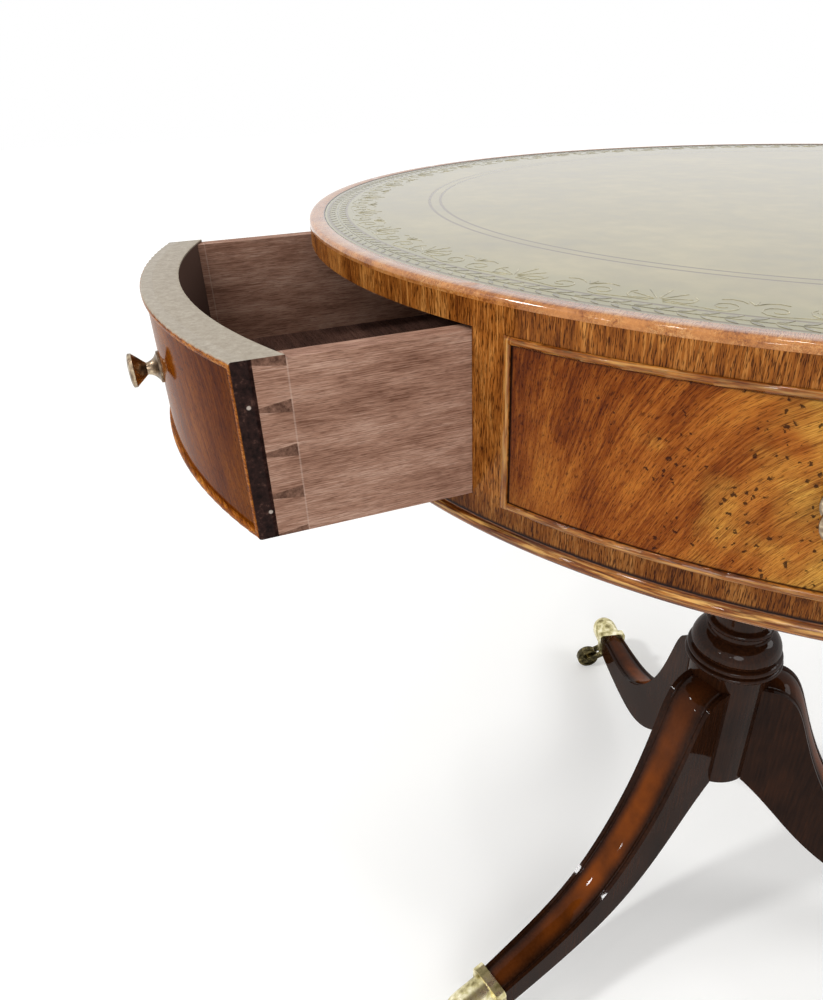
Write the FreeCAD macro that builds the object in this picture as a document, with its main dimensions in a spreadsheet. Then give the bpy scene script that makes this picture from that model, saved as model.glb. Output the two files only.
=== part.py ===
import FreeCAD, Part
import math
import os
import Sketcher

# A revolving drum table: a round drum with four drawers and four dummy fronts turns on a
# tripod pedestal with sabre legs, brass toe caps and castors. Millimetres, +Z up. The
# origin is on the floor, on the axis that the drum turns about. Drawer 1 faces -Y.

doc = FreeCAD.newDocument("DrumTable")
dims = doc.addObject("Spreadsheet::Sheet", "dims")
upright = FreeCAD.Vector(0, 0, 1)
sidelong = FreeCAD.Vector(0, 1, 0)
nodes = []


class Size:
    # A length that keeps its formula, so sums of sizes stay bound to the sheet.

    def __init__(self, value, text):
        self.value = value
        self.text = text

    def join(self, sign, other, value):
        return Size(value, "(%s %s %s)" % (self.text, sign, other.text))

    def __add__(self, other):
        other = sized(other)
        return self.join("+", other, self.value + other.value)

    def __sub__(self, other):
        other = sized(other)
        return self.join("-", other, self.value - other.value)

    def __mul__(self, other):
        other = sized(other)
        return self.join("*", other, self.value * other.value)

    def __truediv__(self, other):
        other = sized(other)
        return self.join("/", other, self.value / other.value)

    def __radd__(self, other):
        return sized(other) + self

    def __rsub__(self, other):
        return sized(other) - self

    def __rmul__(self, other):
        return sized(other) * self

    def __neg__(self):
        return Size(-self.value, "(-1 * %s)" % self.text)


def sized(item):
    return item if isinstance(item, Size) else Size(float(item), repr(float(item)))


def root(square):
    return Size(math.sqrt(square.value), "sqrt(%s)" % square.text)


def size(alias, value, note):
    # One row of the sheet: a note beside the number that carries the alias.
    size.rows += 1
    dims.set("A%d" % size.rows, note)
    dims.set("B%d" % size.rows, str(value))
    dims.setAlias("B%d" % size.rows, alias)
    return Size(float(value), "dims." + alias)


size.rows = 0

# Drum and top
tableHeight = size("tableHeight", 774, "floor to the top margin")
drumRadius = size("drumRadius", 390, "outside of the drum")
railDepth = size("railDepth", 16, "top board, seen as the top rail")
marginWidth = size("marginWidth", 10.5, "crossbanded margin round the leather")
marginDepth = size("marginDepth", 4, "thickness of the margin")
arrisRadius = size("arrisRadius", 2.6, "rounded upper edge")
leatherThickness = size("leatherThickness", 1.2, "tooled leather")
leatherSet = size("leatherSet", 0.4, "leather below the margin")
leatherGap = size("leatherGap", 0.2, "between leather and margin")
bottomThickness = size("bottomThickness", 20.4, "bottom board, seen as the lower rail")
beadHeight = size("beadHeight", 8, "half-round bead at the foot of the drum")
beadProud = size("beadProud", 1.4, "bead beyond the drum")
beadSeat = size("beadSeat", 6.5, "depth of the bead's rebate")
beadFillet = size("beadFillet", 0.9, "thin flat above the bead")
filletSet = size("filletSet", 0.8, "that flat, inside the drum's face")

# Drawer fronts and the frieze between them
openingHeight = size("openingHeight", 85, "height of each opening")
drawerGap = size("drawerGap", 0.5, "room beside and above a drawer front")
runnerGap = size("runnerGap", 0.2, "room under a drawer")
frontThickness = size("frontThickness", 19.5, "bowed drawer front")
dummyThickness = size("dummyThickness", 18, "dummy drawer front")
dummyInset = size("dummyInset", 10, "dummy front drawn in at its back")
stileShoulder = size("stileShoulder", 10, "stile's cheek against a dummy front")
stileBack = size("stileBack", 8, "stile's width at its back")
partitionThickness = size("partitionThickness", 12, "boards beside and behind the drawers")
cockWidth = size("cockWidth", 3.6, "cock bead, seen from the front")
cockProud = size("cockProud", 2, "cock bead beyond the drum's face")
cockDepth = size("cockDepth", 5, "cock bead let into the front")
cockRound = size("cockRound", 1.3, "rounded edges of the cock bead")

# Drawer boxes
drawerOpen = size("drawerOpen", 104.3, "drawer 1 drawn out")
sideThickness = size("sideThickness", 11, "drawer side")
sideDrop = size("sideDrop", 1.6, "drawer side below the front's top")
tailLength = size("tailLength", 14, "dovetail, along the side")
pinRoot = size("pinRoot", 6.4, "width of a pin at the inside")
pinTip = size("pinTip", 1.8, "width of a pin at its end")
pinOverrun = size("pinOverrun", 1, "pin cutters past the joint")
backThickness = size("backThickness", 10, "drawer back")
backDrop = size("backDrop", 9, "drawer back below the sides")
panelThickness = size("panelThickness", 6, "drawer bottom")
panelRise = size("panelRise", 6, "drawer bottom above the side's foot")
grooveDepth = size("grooveDepth", 5, "drawer bottom let into sides and front")
stopGap = size("stopGap", 0.5, "between a shut drawer and the core")
dovetailCount = 4

# Knobs
knobLength = size("knobLength", 17.6, "knob beyond the front")
knobHeadRadius = size("knobHeadRadius", 9.5, "head of the knob")
knobRim = size("knobRim", 1.6, "edge of the head")
knobDome = size("knobDome", 1.5, "rise of the head's face")
knobNeckRadius = size("knobNeckRadius", 3.4, "neck of the knob")
knobNeckRise = size("knobNeckRise", 7.6, "neck above the front")
knobRoseRadius = size("knobRoseRadius", 9, "flared rose")
knobRoseRim = size("knobRoseRim", 1.2, "edge of the rose")
knobFlareBend = size("knobFlareBend", 7.6, "bend of the flare")
knobShankRadius = size("knobShankRadius", 2.4, "shank in the front")
knobShankLength = size("knobShankLength", 16, "length of that shank")

# Pivot
washerThickness = size("washerThickness", 3, "thrust washer under the drum")
washerRadius = size("washerRadius", 60, "outside of the washer")
washerBore = size("washerBore", 24, "hole of the washer")
blockThickness = size("blockThickness", 22, "bearing block on the column")
blockRadius = size("blockRadius", 95, "outside of the block")
blockRound = size("blockRound", 8, "rounded lower edge of the block")
spigotRadius = size("spigotRadius", 20, "column's spigot in the block")
spindleRadius = size("spindleRadius", 12, "steel spindle")
spindleSunk = size("spindleSunk", 70, "spindle in the column")
spindleEnd = size("spindleEnd", 4, "spindle beyond its nut")
runningFit = size("runningFit", 0.05, "room round a turning pin")
bushRadius = size("bushRadius", 20, "bush in the bottom board")
bushFlangeRadius = size("bushFlangeRadius", 34, "flange of the bush")
bushFlange = size("bushFlange", 3, "thickness of that flange")
nutRadius = size("nutRadius", 22, "corners of the nut")
nutHeight = size("nutHeight", 16, "height of the nut")
nutGap = size("nutGap", 0.3, "nut above the bush")

# Column and legs
hubRadius = size("hubRadius", 42, "hub that the legs join")
hubRise = size("hubRise", 18, "hub above the legs' shoulders")
legBearing = size("legBearing", 284.25, "bearing of the first leg, in degrees")
legReach = size("legReach", 325, "axis to the toe cap")
legTop = size("legTop", 304.6, "top of the leg's shoulder")
legWidthHub = size("legWidthHub", 51, "leg's width, run on to the axis")
legWidthToe = size("legWidthToe", 32, "leg's width at the toe cap")
legCrown = size("legCrown", 2.6, "rise of the leg's middle band")
legFluteDepth = size("legFluteDepth", 1.8, "grooves beside that band")
dovetailDepth = size("dovetailDepth", 14, "leg's dovetail in the hub")
dovetailWide = size("dovetailWide", 18, "dovetail at its inside")
dovetailNarrow = size("dovetailNarrow", 12, "dovetail at the hub's face")
dovetailRoot = size("dovetailRoot", 4, "dovetail inside the leg")
dovetailHeight = size("dovetailHeight", 118, "height of the dovetail")
tenonLength = size("tenonLength", 12, "leg's tenon in the toe cap")
tenonRoot = size("tenonRoot", 6, "tenon inside the leg")
tenonWidth = size("tenonWidth", 22, "width of that tenon")
tenonHeight = size("tenonHeight", 20, "height of that tenon")
tenonLift = size("tenonLift", 5, "tenon above the leg's underside")

# Toe caps and castors
capLap = size("capLap", 1.5, "toe cap below the leg's underside")
capHeight = size("capHeight", 38, "height of its collar")
capHalfWidth = size("capHalfWidth", 20, "half the collar's width")
capRound = size("capRound", 5, "collar's rounded corners")
collarLength = size("collarLength", 10, "collar along the leg")
toeLength = size("toeLength", 60, "toe cap along the leg")
toeRadius = size("toeRadius", 18.5, "rounded toe, across")
toeNose = size("toeNose", 23, "rounded end of the toe")
bossRadius = size("bossRadius", 12, "flat seat under the toe")
swivelSet = size("swivelSet", 22.5, "castor's stem beyond the leg")
stemRadius = size("stemRadius", 4.5, "castor's stem")
stemLength = size("stemLength", 17, "stem in the toe cap")
stemRoom = size("stemRoom", 1, "room above the stem")
castorGap = size("castorGap", 0.2, "castor under the toe cap")
plateThickness = size("plateThickness", 3.6, "castor's top plate")
wheelRadius = size("wheelRadius", 17, "castor wheel")
wheelWidth = size("wheelWidth", 12, "its width")
wheelTrail = size("wheelTrail", 31, "wheel beside its stem")
wheelGap = size("wheelGap", 0.4, "wheel between the horn's cheeks")
wheelRound = size("wheelRound", 2, "rounded edges of the tread")
wheelDish = size("wheelDish", 1.5, "recess in the wheel's faces")
wheelRimRadius = size("wheelRimRadius", 13, "inside of the rim")
wheelBossRadius = size("wheelBossRadius", 7, "boss round the axle")
cheekThickness = size("cheekThickness", 3, "horn's cheek")
cheekRound = size("cheekRound", 5, "rounded ends of a cheek")
cheekDrop = size("cheekDrop", 7.4, "cheek's upper end below the plate's top")
axleRadius = size("axleRadius", 3, "wheel's axle")
axleEnd = size("axleEnd", 1, "axle beyond the cheeks")

# Half an opening's width as a share of the drum's radius: eight of them go round the drum
# with a stile between each two.
openingShare = 0.36
# Turned outline of the column. Rings above the hub: radius, height above the hub and bend of
# the edge that leads there, as shares of the hub's radius. A bend above zero swells and one
# below zero hollows.
ringShares = [
    (1.09, 0.000, 0.0), (1.16, 0.070, 0.08), (1.09, 0.140, 0.08), (1.06, 0.150, 0.0),
    (1.13, 0.232, 0.09), (1.06, 0.314, 0.09), (1.01, 0.330, 0.0), (1.01, 0.367, 0.0),
    (1.06, 0.462, 0.12), (0.77, 0.870, 0.50), (0.74, 0.900, 0.0), (0.74, 1.020, 0.0),
    (0.77, 1.035, 0.0), (0.80, 1.100, 0.09), (0.75, 1.165, 0.09), (0.68, 1.200, 0.0),
]
# Baluster and collar: radius and bend as shares of the hub's radius, and height as a share
# of what is left above the rings. The baluster eases to its belly and on to its waist.
neckShare = (0.68, 0.000, 0.0)
bellyShare = (0.90, 0.220, 0.0)
waistShare = (0.57, 0.734, 0.0)
collarShares = [
    (0.57, 0.755, 0.0), (0.76, 0.755, 0.0), (0.82, 0.777, 0.16), (0.76, 0.798, 0.16),
    (0.64, 0.805, 0.0), (0.64, 0.837, 0.0), (0.92, 0.911, -0.55), (0.92, 0.926, 0.0),
    (1.10, 0.926, 0.0), (1.10, 1.000, 0.0),
]
hubFloorShare = 0.562
hubRoundShare = 0.05
# A leg's moulded ridge and its underside: distance from the axis as a share of the leg's
# reach, and height as a share of the shoulder's height.
ridgeShares = [
    (0.085, 0.998), (0.123, 1.000), (0.165, 0.995), (0.205, 0.967), (0.258, 0.849),
    (0.338, 0.648), (0.462, 0.458), (0.615, 0.322), (0.800, 0.256), (1.000, 0.2265),
]
soleShares = [
    (0.070, 0.585), (0.085, 0.575), (0.105, 0.562), (0.135, 0.5355), (0.185, 0.4855),
    (0.255, 0.407), (0.360, 0.2985), (0.520, 0.194), (0.738, 0.144), (1.000, 0.1315),
]
# Flat beside the arris and groove beside that flat, as shares of the leg's width.
legFlatShare = 0.085
bandShares = [1.0, 0.5, 0.0, -0.5, -1.0]
legFluteShare = 0.085
legStations = 26
curveSteps = 12

doc.recompute()

# Levels and places that several pieces share
openingHalfWidth = drumRadius * openingShare
openTop = tableHeight - railDepth
openFloor = openTop - openingHeight
drumFloor = openFloor - bottomThickness
beadTop = drumFloor + beadHeight + beadFillet
leatherTop = tableHeight - leatherSet
leatherSeat = leatherTop - leatherThickness
marginInner = drumRadius - marginWidth
marginFloor = tableHeight - marginDepth
blockTop = drumFloor - washerThickness
columnTop = blockTop - blockThickness
frontFloor = openFloor + runnerGap
frontHeight = openTop - drawerGap - frontFloor
frontHalfWidth = openingHalfWidth - drawerGap
frontInner = drumRadius - frontThickness
sideHeight = frontHeight - sideDrop
stileX = root(frontInner * frontInner - openingHalfWidth * openingHalfWidth)
coreX = openingHalfWidth + partitionThickness
drawerBack = coreX + stopGap
rootTwo = Size(math.sqrt(2), "sqrt(2)")
hubFloor = legTop * hubFloorShare
hubTop = legTop + hubRise
legFoot = legTop * soleShares[-1][1]
tenonFloor = legFoot + tenonLift
capFloor = legFoot - capLap
swivelReach = legReach + swivelSet


def bind(item, path, length):
    item.setExpression(path, sized(length).text)


def move(item, x, y, z):
    for axis, length in zip("xyz", (x, y, z)):
        if isinstance(length, Size):
            bind(item, "Placement.Base." + axis, length)


def block(name, corner, lengths):
    box = doc.addObject("Part::Box", name)
    for path, length in zip(("Length", "Width", "Height"), lengths):
        bind(box, path, length)
    move(box, *corner)
    return box


def rod(name, radius, height, base):
    cylinder = doc.addObject("Part::Cylinder", name)
    bind(cylinder, "Radius", radius)
    bind(cylinder, "Height", height)
    move(cylinder, *base)
    return cylinder


def cut(name, base, *tools):
    # Takes the tools off one after another.
    for number, tool in enumerate(tools):
        step = doc.addObject("Part::Cut", "%s_cut%d" % (name, number))
        step.Base = base
        step.Tool = tool
        base = step
    return base


def common(name, base, tool):
    overlap = doc.addObject("Part::Common", name)
    overlap.Base = base
    overlap.Tool = tool
    return overlap


def fuse(name, *pieces):
    joined = doc.addObject("Part::MultiFuse", name)
    joined.Shapes = list(pieces)
    joined.Refine = True
    return joined


def mirrored(name, source):
    # The same piece on the other side of the plane y = 0.
    image = doc.addObject("Part::Mirroring", name)
    image.Source = source
    image.Normal = sidelong
    return image


def plane_of(body, role):
    return next(plane for plane in body.Origin.OriginFeatures if plane.Role == role)


def arc_through(start, end, bend):
    # The short arc from start to end; a bend above zero keeps its centre on the left.
    way = end - start
    half = way.Length / 2
    left = FreeCAD.Vector(-way.y, way.x, 0) / way.Length
    offset = math.sqrt(max(bend * bend - half * half, 0.0))
    centre = (start + end) / 2 + left * math.copysign(offset, bend)
    first, last = (start, end) if bend > 0 else (end, start)
    circle = Part.Circle(centre, upright, abs(bend))
    angles = [math.atan2(point.y - centre.y, point.x - centre.x) for point in (first, last)]
    return Part.ArcOfCircle(circle, *angles)


def draw_loop(sketch, corners):
    # Closed outline. A corner is (across, up) or (across, up, bend), where the bend is the
    # radius of the arc that leads to it.
    points = [FreeCAD.Vector(sized(c[0]).value, sized(c[1]).value, 0) for c in corners]
    edges = []
    for number, corner in enumerate(corners):
        start, end = points[number - 1], points[number]
        bend = sized(corner[2]).value if len(corner) > 2 else 0.0
        if bend:
            edge = sketch.addGeometry(arc_through(start, end, bend))
            length = corner[2] if bend > 0 else -corner[2]
            radius = sketch.addConstraint(Sketcher.Constraint("Radius", edge, abs(bend)))
            bind(sketch, "Constraints[%d]" % radius, length)
        else:
            edge = sketch.addGeometry(Part.LineSegment(start, end))
        edges.append((edge, 1, 2) if bend >= 0 else (edge, 2, 1))
    for number, corner in enumerate(corners):
        edge, end = edges[number][0], edges[number][2]
        after, start = edges[(number + 1) % len(edges)][:2]
        sketch.addConstraint(Sketcher.Constraint("Coincident", edge, end, after, start))
        for kind, axis, length in (("DistanceX", -2, corner[0]), ("DistanceY", -1, corner[1])):
            if isinstance(length, Size):
                rule = Sketcher.Constraint(kind, -1, 1, edge, end, length.value)
                bind(sketch, "Constraints[%d]" % sketch.addConstraint(rule), length)
            else:
                sketch.addConstraint(Sketcher.Constraint("PointOnObject", edge, end, axis))


def sketched(name, role, loops):
    body = doc.addObject("PartDesign::Body", name)
    sketch = body.newObject("Sketcher::SketchObject", name + "_outline")
    sketch.AttachmentSupport = [(plane_of(body, role), "")]
    sketch.MapMode = "FlatFace"
    for corners in loops:
        draw_loop(sketch, corners)
    return body, sketch


def turned(name, corners):
    # Turned about the Z axis: corners are (radius, height).
    body, sketch = sketched(name, "XZ_Plane", [corners])
    spin = body.newObject("PartDesign::Revolution", name + "_turned")
    spin.Profile = sketch
    spin.ReferenceAxis = (sketch, ["V_Axis"])
    spin.Angle = 360
    return body


def padded(name, role, loops, length, back=False):
    body, sketch = sketched(name, role, loops)
    pad = body.newObject("PartDesign::Pad", name + "_padded")
    pad.Profile = sketch
    pad.Reversed = back
    bind(pad, "Length", length)
    return body


def placed(label, source, angle, shift=None):
    # A copy turned about Z, and drawn out along its own X axis where a shift is given.
    copy = doc.addObject("Part::Compound", label)
    copy.Links = [source]
    copy.Placement = FreeCAD.Placement(FreeCAD.Vector(), FreeCAD.Rotation(upright, sized(angle).value))
    if isinstance(angle, Size):
        bind(copy, "Placement.Rotation.Angle", angle)
    if shift:
        bind(copy, "Placement.Base.x", shift * round(math.cos(math.radians(angle))))
        bind(copy, "Placement.Base.y", shift * round(math.sin(math.radians(angle))))
    return copy


def node(label, item):
    item.Label = label
    nodes.append(item)
    return item


def group(label, items):
    gathered = doc.addObject("Part::Compound", label)
    gathered.Links = items
    return node(label, gathered)


def quarters(name, source, first):
    # Four copies a quarter turn apart.
    return [placed("%s_at%d" % (name, turn), source, first + 90 * turn) for turn in range(4)]


def eased(start, end):
    # Rows of shares from one row to another, level at both ends.
    rows = []
    for step in range(1, curveSteps + 1):
        along = step / curveSteps
        turn = (1 - math.cos(math.pi * along)) / 2
        radiusShare = start[0] + (end[0] - start[0]) * turn
        rows.append((radiusShare, start[1] + (end[1] - start[1]) * along, 0.0))
    return rows


def domed(radius, floor, rise):
    # Corners of a dome from its rim, which is left out, to its top on the axis.
    corners = []
    for step in range(1, curveSteps):
        angle = math.pi / 2 * step / curveSteps
        corners.append((radius * math.cos(angle), floor + rise * math.sin(angle)))
    return corners + [(0, floor + rise)]


def chord(radius, half):
    # Distance from the axis to a chord of that half width.
    return root(radius * radius - half * half)


def sector(outer, inner, half):
    # Outline of a bowed board with parallel ends.
    x_out = chord(outer, half)
    x_in = chord(inner, half)
    return [(x_out, -half), (x_out, half, outer), (x_in, half), (x_in, -half, -inner)]


# Top board, its crossbanded margin and the leather
node("top_board", turned("top_board", [
    (0, openTop), (drumRadius, openTop), (drumRadius, marginFloor),
    (marginInner, marginFloor), (marginInner, leatherSeat), (0, leatherSeat),
]))
node("top_margin", turned("top_margin", [
    (marginInner, marginFloor), (drumRadius, marginFloor),
    (drumRadius, tableHeight - arrisRadius),
    (drumRadius - arrisRadius, tableHeight, arrisRadius), (marginInner, tableHeight),
]))
leatherRadius = marginInner - leatherGap
node("leather_top", turned("leather_top", [
    (0, leatherSeat), (leatherRadius, leatherSeat), (leatherRadius, leatherTop), (0, leatherTop),
]))

# Bottom board and the bead round its foot
beadInner = drumRadius - beadSeat
node("bottom_board", turned("bottom_board", [
    (bushRadius, drumFloor), (beadInner, drumFloor), (beadInner, beadTop),
    (drumRadius, beadTop), (drumRadius, openFloor), (bushRadius, openFloor),
]))
beadHalf = beadHeight / 2
beadNose = drumRadius + beadProud
filletX = drumRadius - filletSet
filletRise = chord(beadHalf, filletX - (beadNose - beadHalf))
node("base_bead", turned("base_bead", [
    (beadInner, drumFloor), (beadNose - beadHalf, drumFloor),
    (beadNose, drumFloor + beadHalf, beadHalf),
    (filletX, drumFloor + beadHalf + filletRise, beadHalf),
    (filletX, beadTop), (beadInner, beadTop),
]))

# Frieze stiles, one on each side of every drawer
openingX = chord(drumRadius, openingHalfWidth)
cornerX = (openingX + openingHalfWidth) / rootTwo
cornerY = (openingX - openingHalfWidth) / rootTwo
shoulder = stileShoulder / rootTwo
stile = padded("stile", "XY_Plane", [[
    (stileX, openingHalfWidth), (openingX, openingHalfWidth), (cornerX, cornerY, drumRadius),
    (cornerX - shoulder, cornerY - shoulder), (stileX, openingHalfWidth + stileBack),
]], openingHeight)
move(stile, 0, 0, openFloor)
stilePair = [stile, mirrored("stile_mirrored", stile)]
group("frieze_stiles", [
    copy for side in stilePair for copy in quarters(side.Name, side, 0)
])

# Partitions beside the drawers, and the core box behind them
partition = block(
    "partition", (coreX, openingHalfWidth, openFloor),
    (stileX - coreX, partitionThickness, openingHeight),
)
partitionPair = [partition, mirrored("partition_mirrored", partition)]
group("drawer_partitions", [
    copy for side in partitionPair for copy in quarters(side.Name, side, 0)
])
coreBoard = block(
    "core_board", (openingHalfWidth, -openingHalfWidth, openFloor),
    (partitionThickness, openingHalfWidth + coreX, openingHeight),
)
group("core_box", quarters("core_board", coreBoard, 0))


def cock_bead(name, half, floor, height):
    # A frame let into the edges of a front, its proud edges rounded.
    outer = drumRadius + cockProud
    slab = padded(name + "_slab", "XY_Plane", [sector(outer, drumRadius - cockDepth, half)], height)
    move(slab, 0, 0, floor)
    window = block(
        name + "_window", (0, cockWidth - half, floor + cockWidth),
        (outer, 2 * (half - cockWidth), height - 2 * cockWidth),
    )
    frame = cut(name, slab, window)
    doc.recompute()
    rounded = doc.addObject("Part::Fillet", name + "_rounded")
    rounded.Base = frame
    proud = [
        number for number, edge in enumerate(frame.Shape.Edges, start=1)
        if all(math.isclose(math.hypot(v.X, v.Y), outer.value) for v in edge.Vertexes)
    ]
    rounded.Edges = [(number, cockRound.value, cockRound.value) for number in proud]
    return rounded


def knob(name, height):
    # Turned brass knob that stands out along X from the drum's face.
    head = knobLength - knobDome - knobRim
    body = turned(name, [
        (0, -knobShankLength), (knobShankRadius, -knobShankLength), (knobShankRadius, 0),
        (knobRoseRadius, 0), (knobRoseRadius, knobRoseRim),
        (knobNeckRadius, knobNeckRise, -knobFlareBend), (knobHeadRadius, head),
        (knobHeadRadius, head + knobRim),
    ] + domed(knobHeadRadius, head + knobRim, knobDome))
    body.Placement = FreeCAD.Placement(FreeCAD.Vector(), FreeCAD.Rotation(sidelong, 90))
    move(body, drumRadius, 0, height)
    return body


# Dummy fronts between the drawers
dummyX = openingX - stileShoulder
dummyInner = drumRadius - dummyThickness
dummyHalf = openingHalfWidth - dummyInset
dummyInnerX = chord(dummyInner, dummyHalf)
dummyBlank = padded("dummy_blank", "XY_Plane", [[
    (openingX, -openingHalfWidth), (openingX, openingHalfWidth, drumRadius),
    (dummyX, openingHalfWidth), (dummyInnerX, dummyHalf),
    (dummyInnerX, -dummyHalf, -dummyInner), (dummyX, -openingHalfWidth),
]], openingHeight)
move(dummyBlank, 0, 0, openFloor)
dummyBead = cock_bead("dummy_bead", openingHalfWidth, openFloor, openingHeight)
dummyKnob = knob("dummy_knob", openFloor + openingHeight / 2)
dummyFront = cut("dummy_front", dummyBlank, dummyBead, dummyKnob)
group("dummy_fronts", quarters("dummy_front", dummyFront, 45))
group("dummy_cock_beads", quarters("dummy_bead", dummyBead, 45))
group("dummy_knobs", quarters("dummy_knob", dummyKnob, 45))

# One drawer, shut, facing along X
frontInnerX = chord(frontInner, frontHalfWidth)
frontBlank = padded(
    "front_blank", "XY_Plane", [sector(drumRadius, frontInner, frontHalfWidth)], frontHeight,
)
move(frontBlank, 0, 0, frontFloor)
frontBead = cock_bead("front_bead", frontHalfWidth, frontFloor, frontHeight)
frontKnob = knob("front_knob", frontFloor + frontHeight / 2)
insideHalf = frontHalfWidth - sideThickness
panelHalf = insideHalf + grooveDepth
panelNose = frontInner + grooveDepth
panelX = chord(panelNose, panelHalf)
panelFloor = frontFloor + panelRise
drawerPanel = padded("drawer_panel", "XY_Plane", [[
    (drawerBack, -panelHalf), (panelX, -panelHalf), (panelX, panelHalf, panelNose),
    (drawerBack, panelHalf),
]], panelThickness)
move(drawerPanel, 0, 0, panelFloor)

# Pins of the front between the side's tails: whole ones inside, half ones at both edges
pinLoops = []
for number in range(dovetailCount + 1):
    middle = sideHeight * (number / dovetailCount)
    below = 0 if number == 0 else 1
    above = 0 if number == dovetailCount else 1
    pinStart = frontInnerX - pinOverrun
    pinEnd = frontInnerX + tailLength + pinOverrun
    pinLoops.append([
        (pinStart, frontFloor + middle - below * pinRoot / 2),
        (pinEnd, frontFloor + middle - below * pinTip / 2),
        (pinEnd, frontFloor + middle + above * pinTip / 2),
        (pinStart, frontFloor + middle + above * pinRoot / 2),
    ])
pinCutters = padded("pin_cutters", "XZ_Plane", pinLoops, sideThickness, back=True)
move(pinCutters, 0, insideHalf, 0)
pins = common("pins", frontBlank, pinCutters)
sideBlank = block(
    "side_blank", (drawerBack, insideHalf, frontFloor),
    (frontInnerX + tailLength - drawerBack, sideThickness, sideHeight),
)
drawerSide = cut("drawer_side", sideBlank, pins, drawerPanel)
drawerSideMirrored = mirrored("drawer_side_mirrored", drawerSide)
drawerFront = cut(
    "drawer_front", frontBlank, frontBead, drawerSide, drawerSideMirrored, drawerPanel, frontKnob,
)
backFloor = panelFloor + panelThickness
drawerBackBoard = block(
    "drawer_back_board", (drawerBack, -insideHalf, backFloor),
    (backThickness, 2 * insideHalf, frontFloor + sideHeight - backDrop - backFloor),
)
drawerPieces = [
    ("front", drawerFront), ("side_left", drawerSideMirrored), ("side_right", drawerSide),
    ("back", drawerBackBoard), ("bottom", drawerPanel), ("cock_bead", frontBead),
    ("knob", frontKnob),
]
for number in range(1, 5):
    bearing = 180 + 90 * number
    drawn = drawerOpen if number == 1 else None
    for piece, source in drawerPieces:
        label = "drawer_%d_%s" % (number, piece)
        node(label, placed(label, source, bearing, drawn))

# Pivot: washer, block, spindle and nut stand still, and the bush turns with the drum
spindleFloor = columnTop - spindleSunk
nutFloor = openFloor + bushFlange + nutGap
spindle = node("spindle", rod(
    "spindle", spindleRadius, nutFloor + nutHeight + spindleEnd - spindleFloor,
    (0, 0, spindleFloor),
))
node("thrust_washer", turned("thrust_washer", [
    (washerBore, blockTop), (washerRadius, blockTop), (washerRadius, drumFloor),
    (washerBore, drumFloor),
]))
node("bearing_block", turned("bearing_block", [
    (spigotRadius, columnTop), (blockRadius - blockRound, columnTop),
    (blockRadius, columnTop + blockRound, blockRound), (blockRadius, blockTop),
    (spigotRadius, blockTop),
]))
bushBore = spindleRadius + runningFit
node("pivot_bush", turned("pivot_bush", [
    (bushBore, drumFloor), (bushRadius, drumFloor), (bushRadius, openFloor),
    (bushFlangeRadius, openFloor), (bushFlangeRadius, openFloor + bushFlange),
    (bushBore, openFloor + bushFlange),
]))
nutBlank = doc.addObject("Part::Prism", "nut_blank")
nutBlank.Polygon = 6
bind(nutBlank, "Circumradius", nutRadius)
bind(nutBlank, "Height", nutHeight)
move(nutBlank, 0, 0, nutFloor)
node("pivot_nut", cut("pivot_nut", nutBlank, spindle))

# Column, turned in one piece with its hub and its spigot
hubRound = hubRadius * hubRoundShare
columnCorners = [
    (0, hubFloor), (hubRadius - hubRound, hubFloor), (hubRadius, hubFloor + hubRound, hubRound),
    (hubRadius, hubTop),
]
neckFloor = hubTop + hubRadius * ringShares[-1][1]
balusterShares = eased(neckShare, bellyShare) + eased(bellyShare, waistShare) + collarShares
for shares, floor, height in (
    (ringShares, hubTop, hubRadius), (balusterShares, neckFloor, columnTop - neckFloor),
):
    for radiusShare, heightShare, bendShare in shares:
        corner = (hubRadius * radiusShare, floor + height * heightShare)
        columnCorners.append(corner + ((hubRadius * bendShare,) if bendShare else ()))
columnCorners += [(spigotRadius, columnTop), (spigotRadius, blockTop), (0, blockTop)]
columnTurned = turned("column_turned", columnCorners)


def leg_section(ridge, sole, half):
    # Section of a leg across its run: flat sides and sole, and a moulded top of a crowned
    # band between two grooves and two flats.
    rise = ridge - sole
    up = FreeCAD.Vector(rise).normalize()
    flat = half - 2 * half * legFlatShare
    band = flat - 2 * half * legFluteShare
    groove = (flat + band) / 2

    def at(across, height):
        return sole + up * height + sidelong * across

    top = rise.Length
    fluteFloor = top - legFluteDepth.value
    corners = [at(-half, top), at(-half, 0), at(half, 0), at(half, top), at(flat, top)]
    edges = [Part.LineSegment(a, b).toShape() for a, b in zip(corners, corners[1:])]
    edges.append(curve([at(flat, top), at(groove, fluteFloor), at(band, top)]))
    crown = [(band * share, top + legCrown.value * (1 - share * share)) for share in bandShares]
    edges.append(curve([at(*spot) for spot in crown]))
    edges.append(curve([at(-band, top), at(-groove, fluteFloor), at(-flat, top)]))
    edges.append(Part.LineSegment(at(-flat, top), at(-half, top)).toShape())
    return Part.Wire(edges)


def curve(points):
    spline = Part.BSplineCurve()
    spline.interpolate(points)
    return spline.toShape()


def leg_line(shares, stations):
    # Smooth line through the points of a leg's outline.
    spline = Part.BSplineCurve()
    points = [FreeCAD.Vector(legReach.value * x, 0, legTop.value * z) for x, z in shares]
    spline.interpolate(Points=points, Parameters=stations)
    return spline


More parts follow.
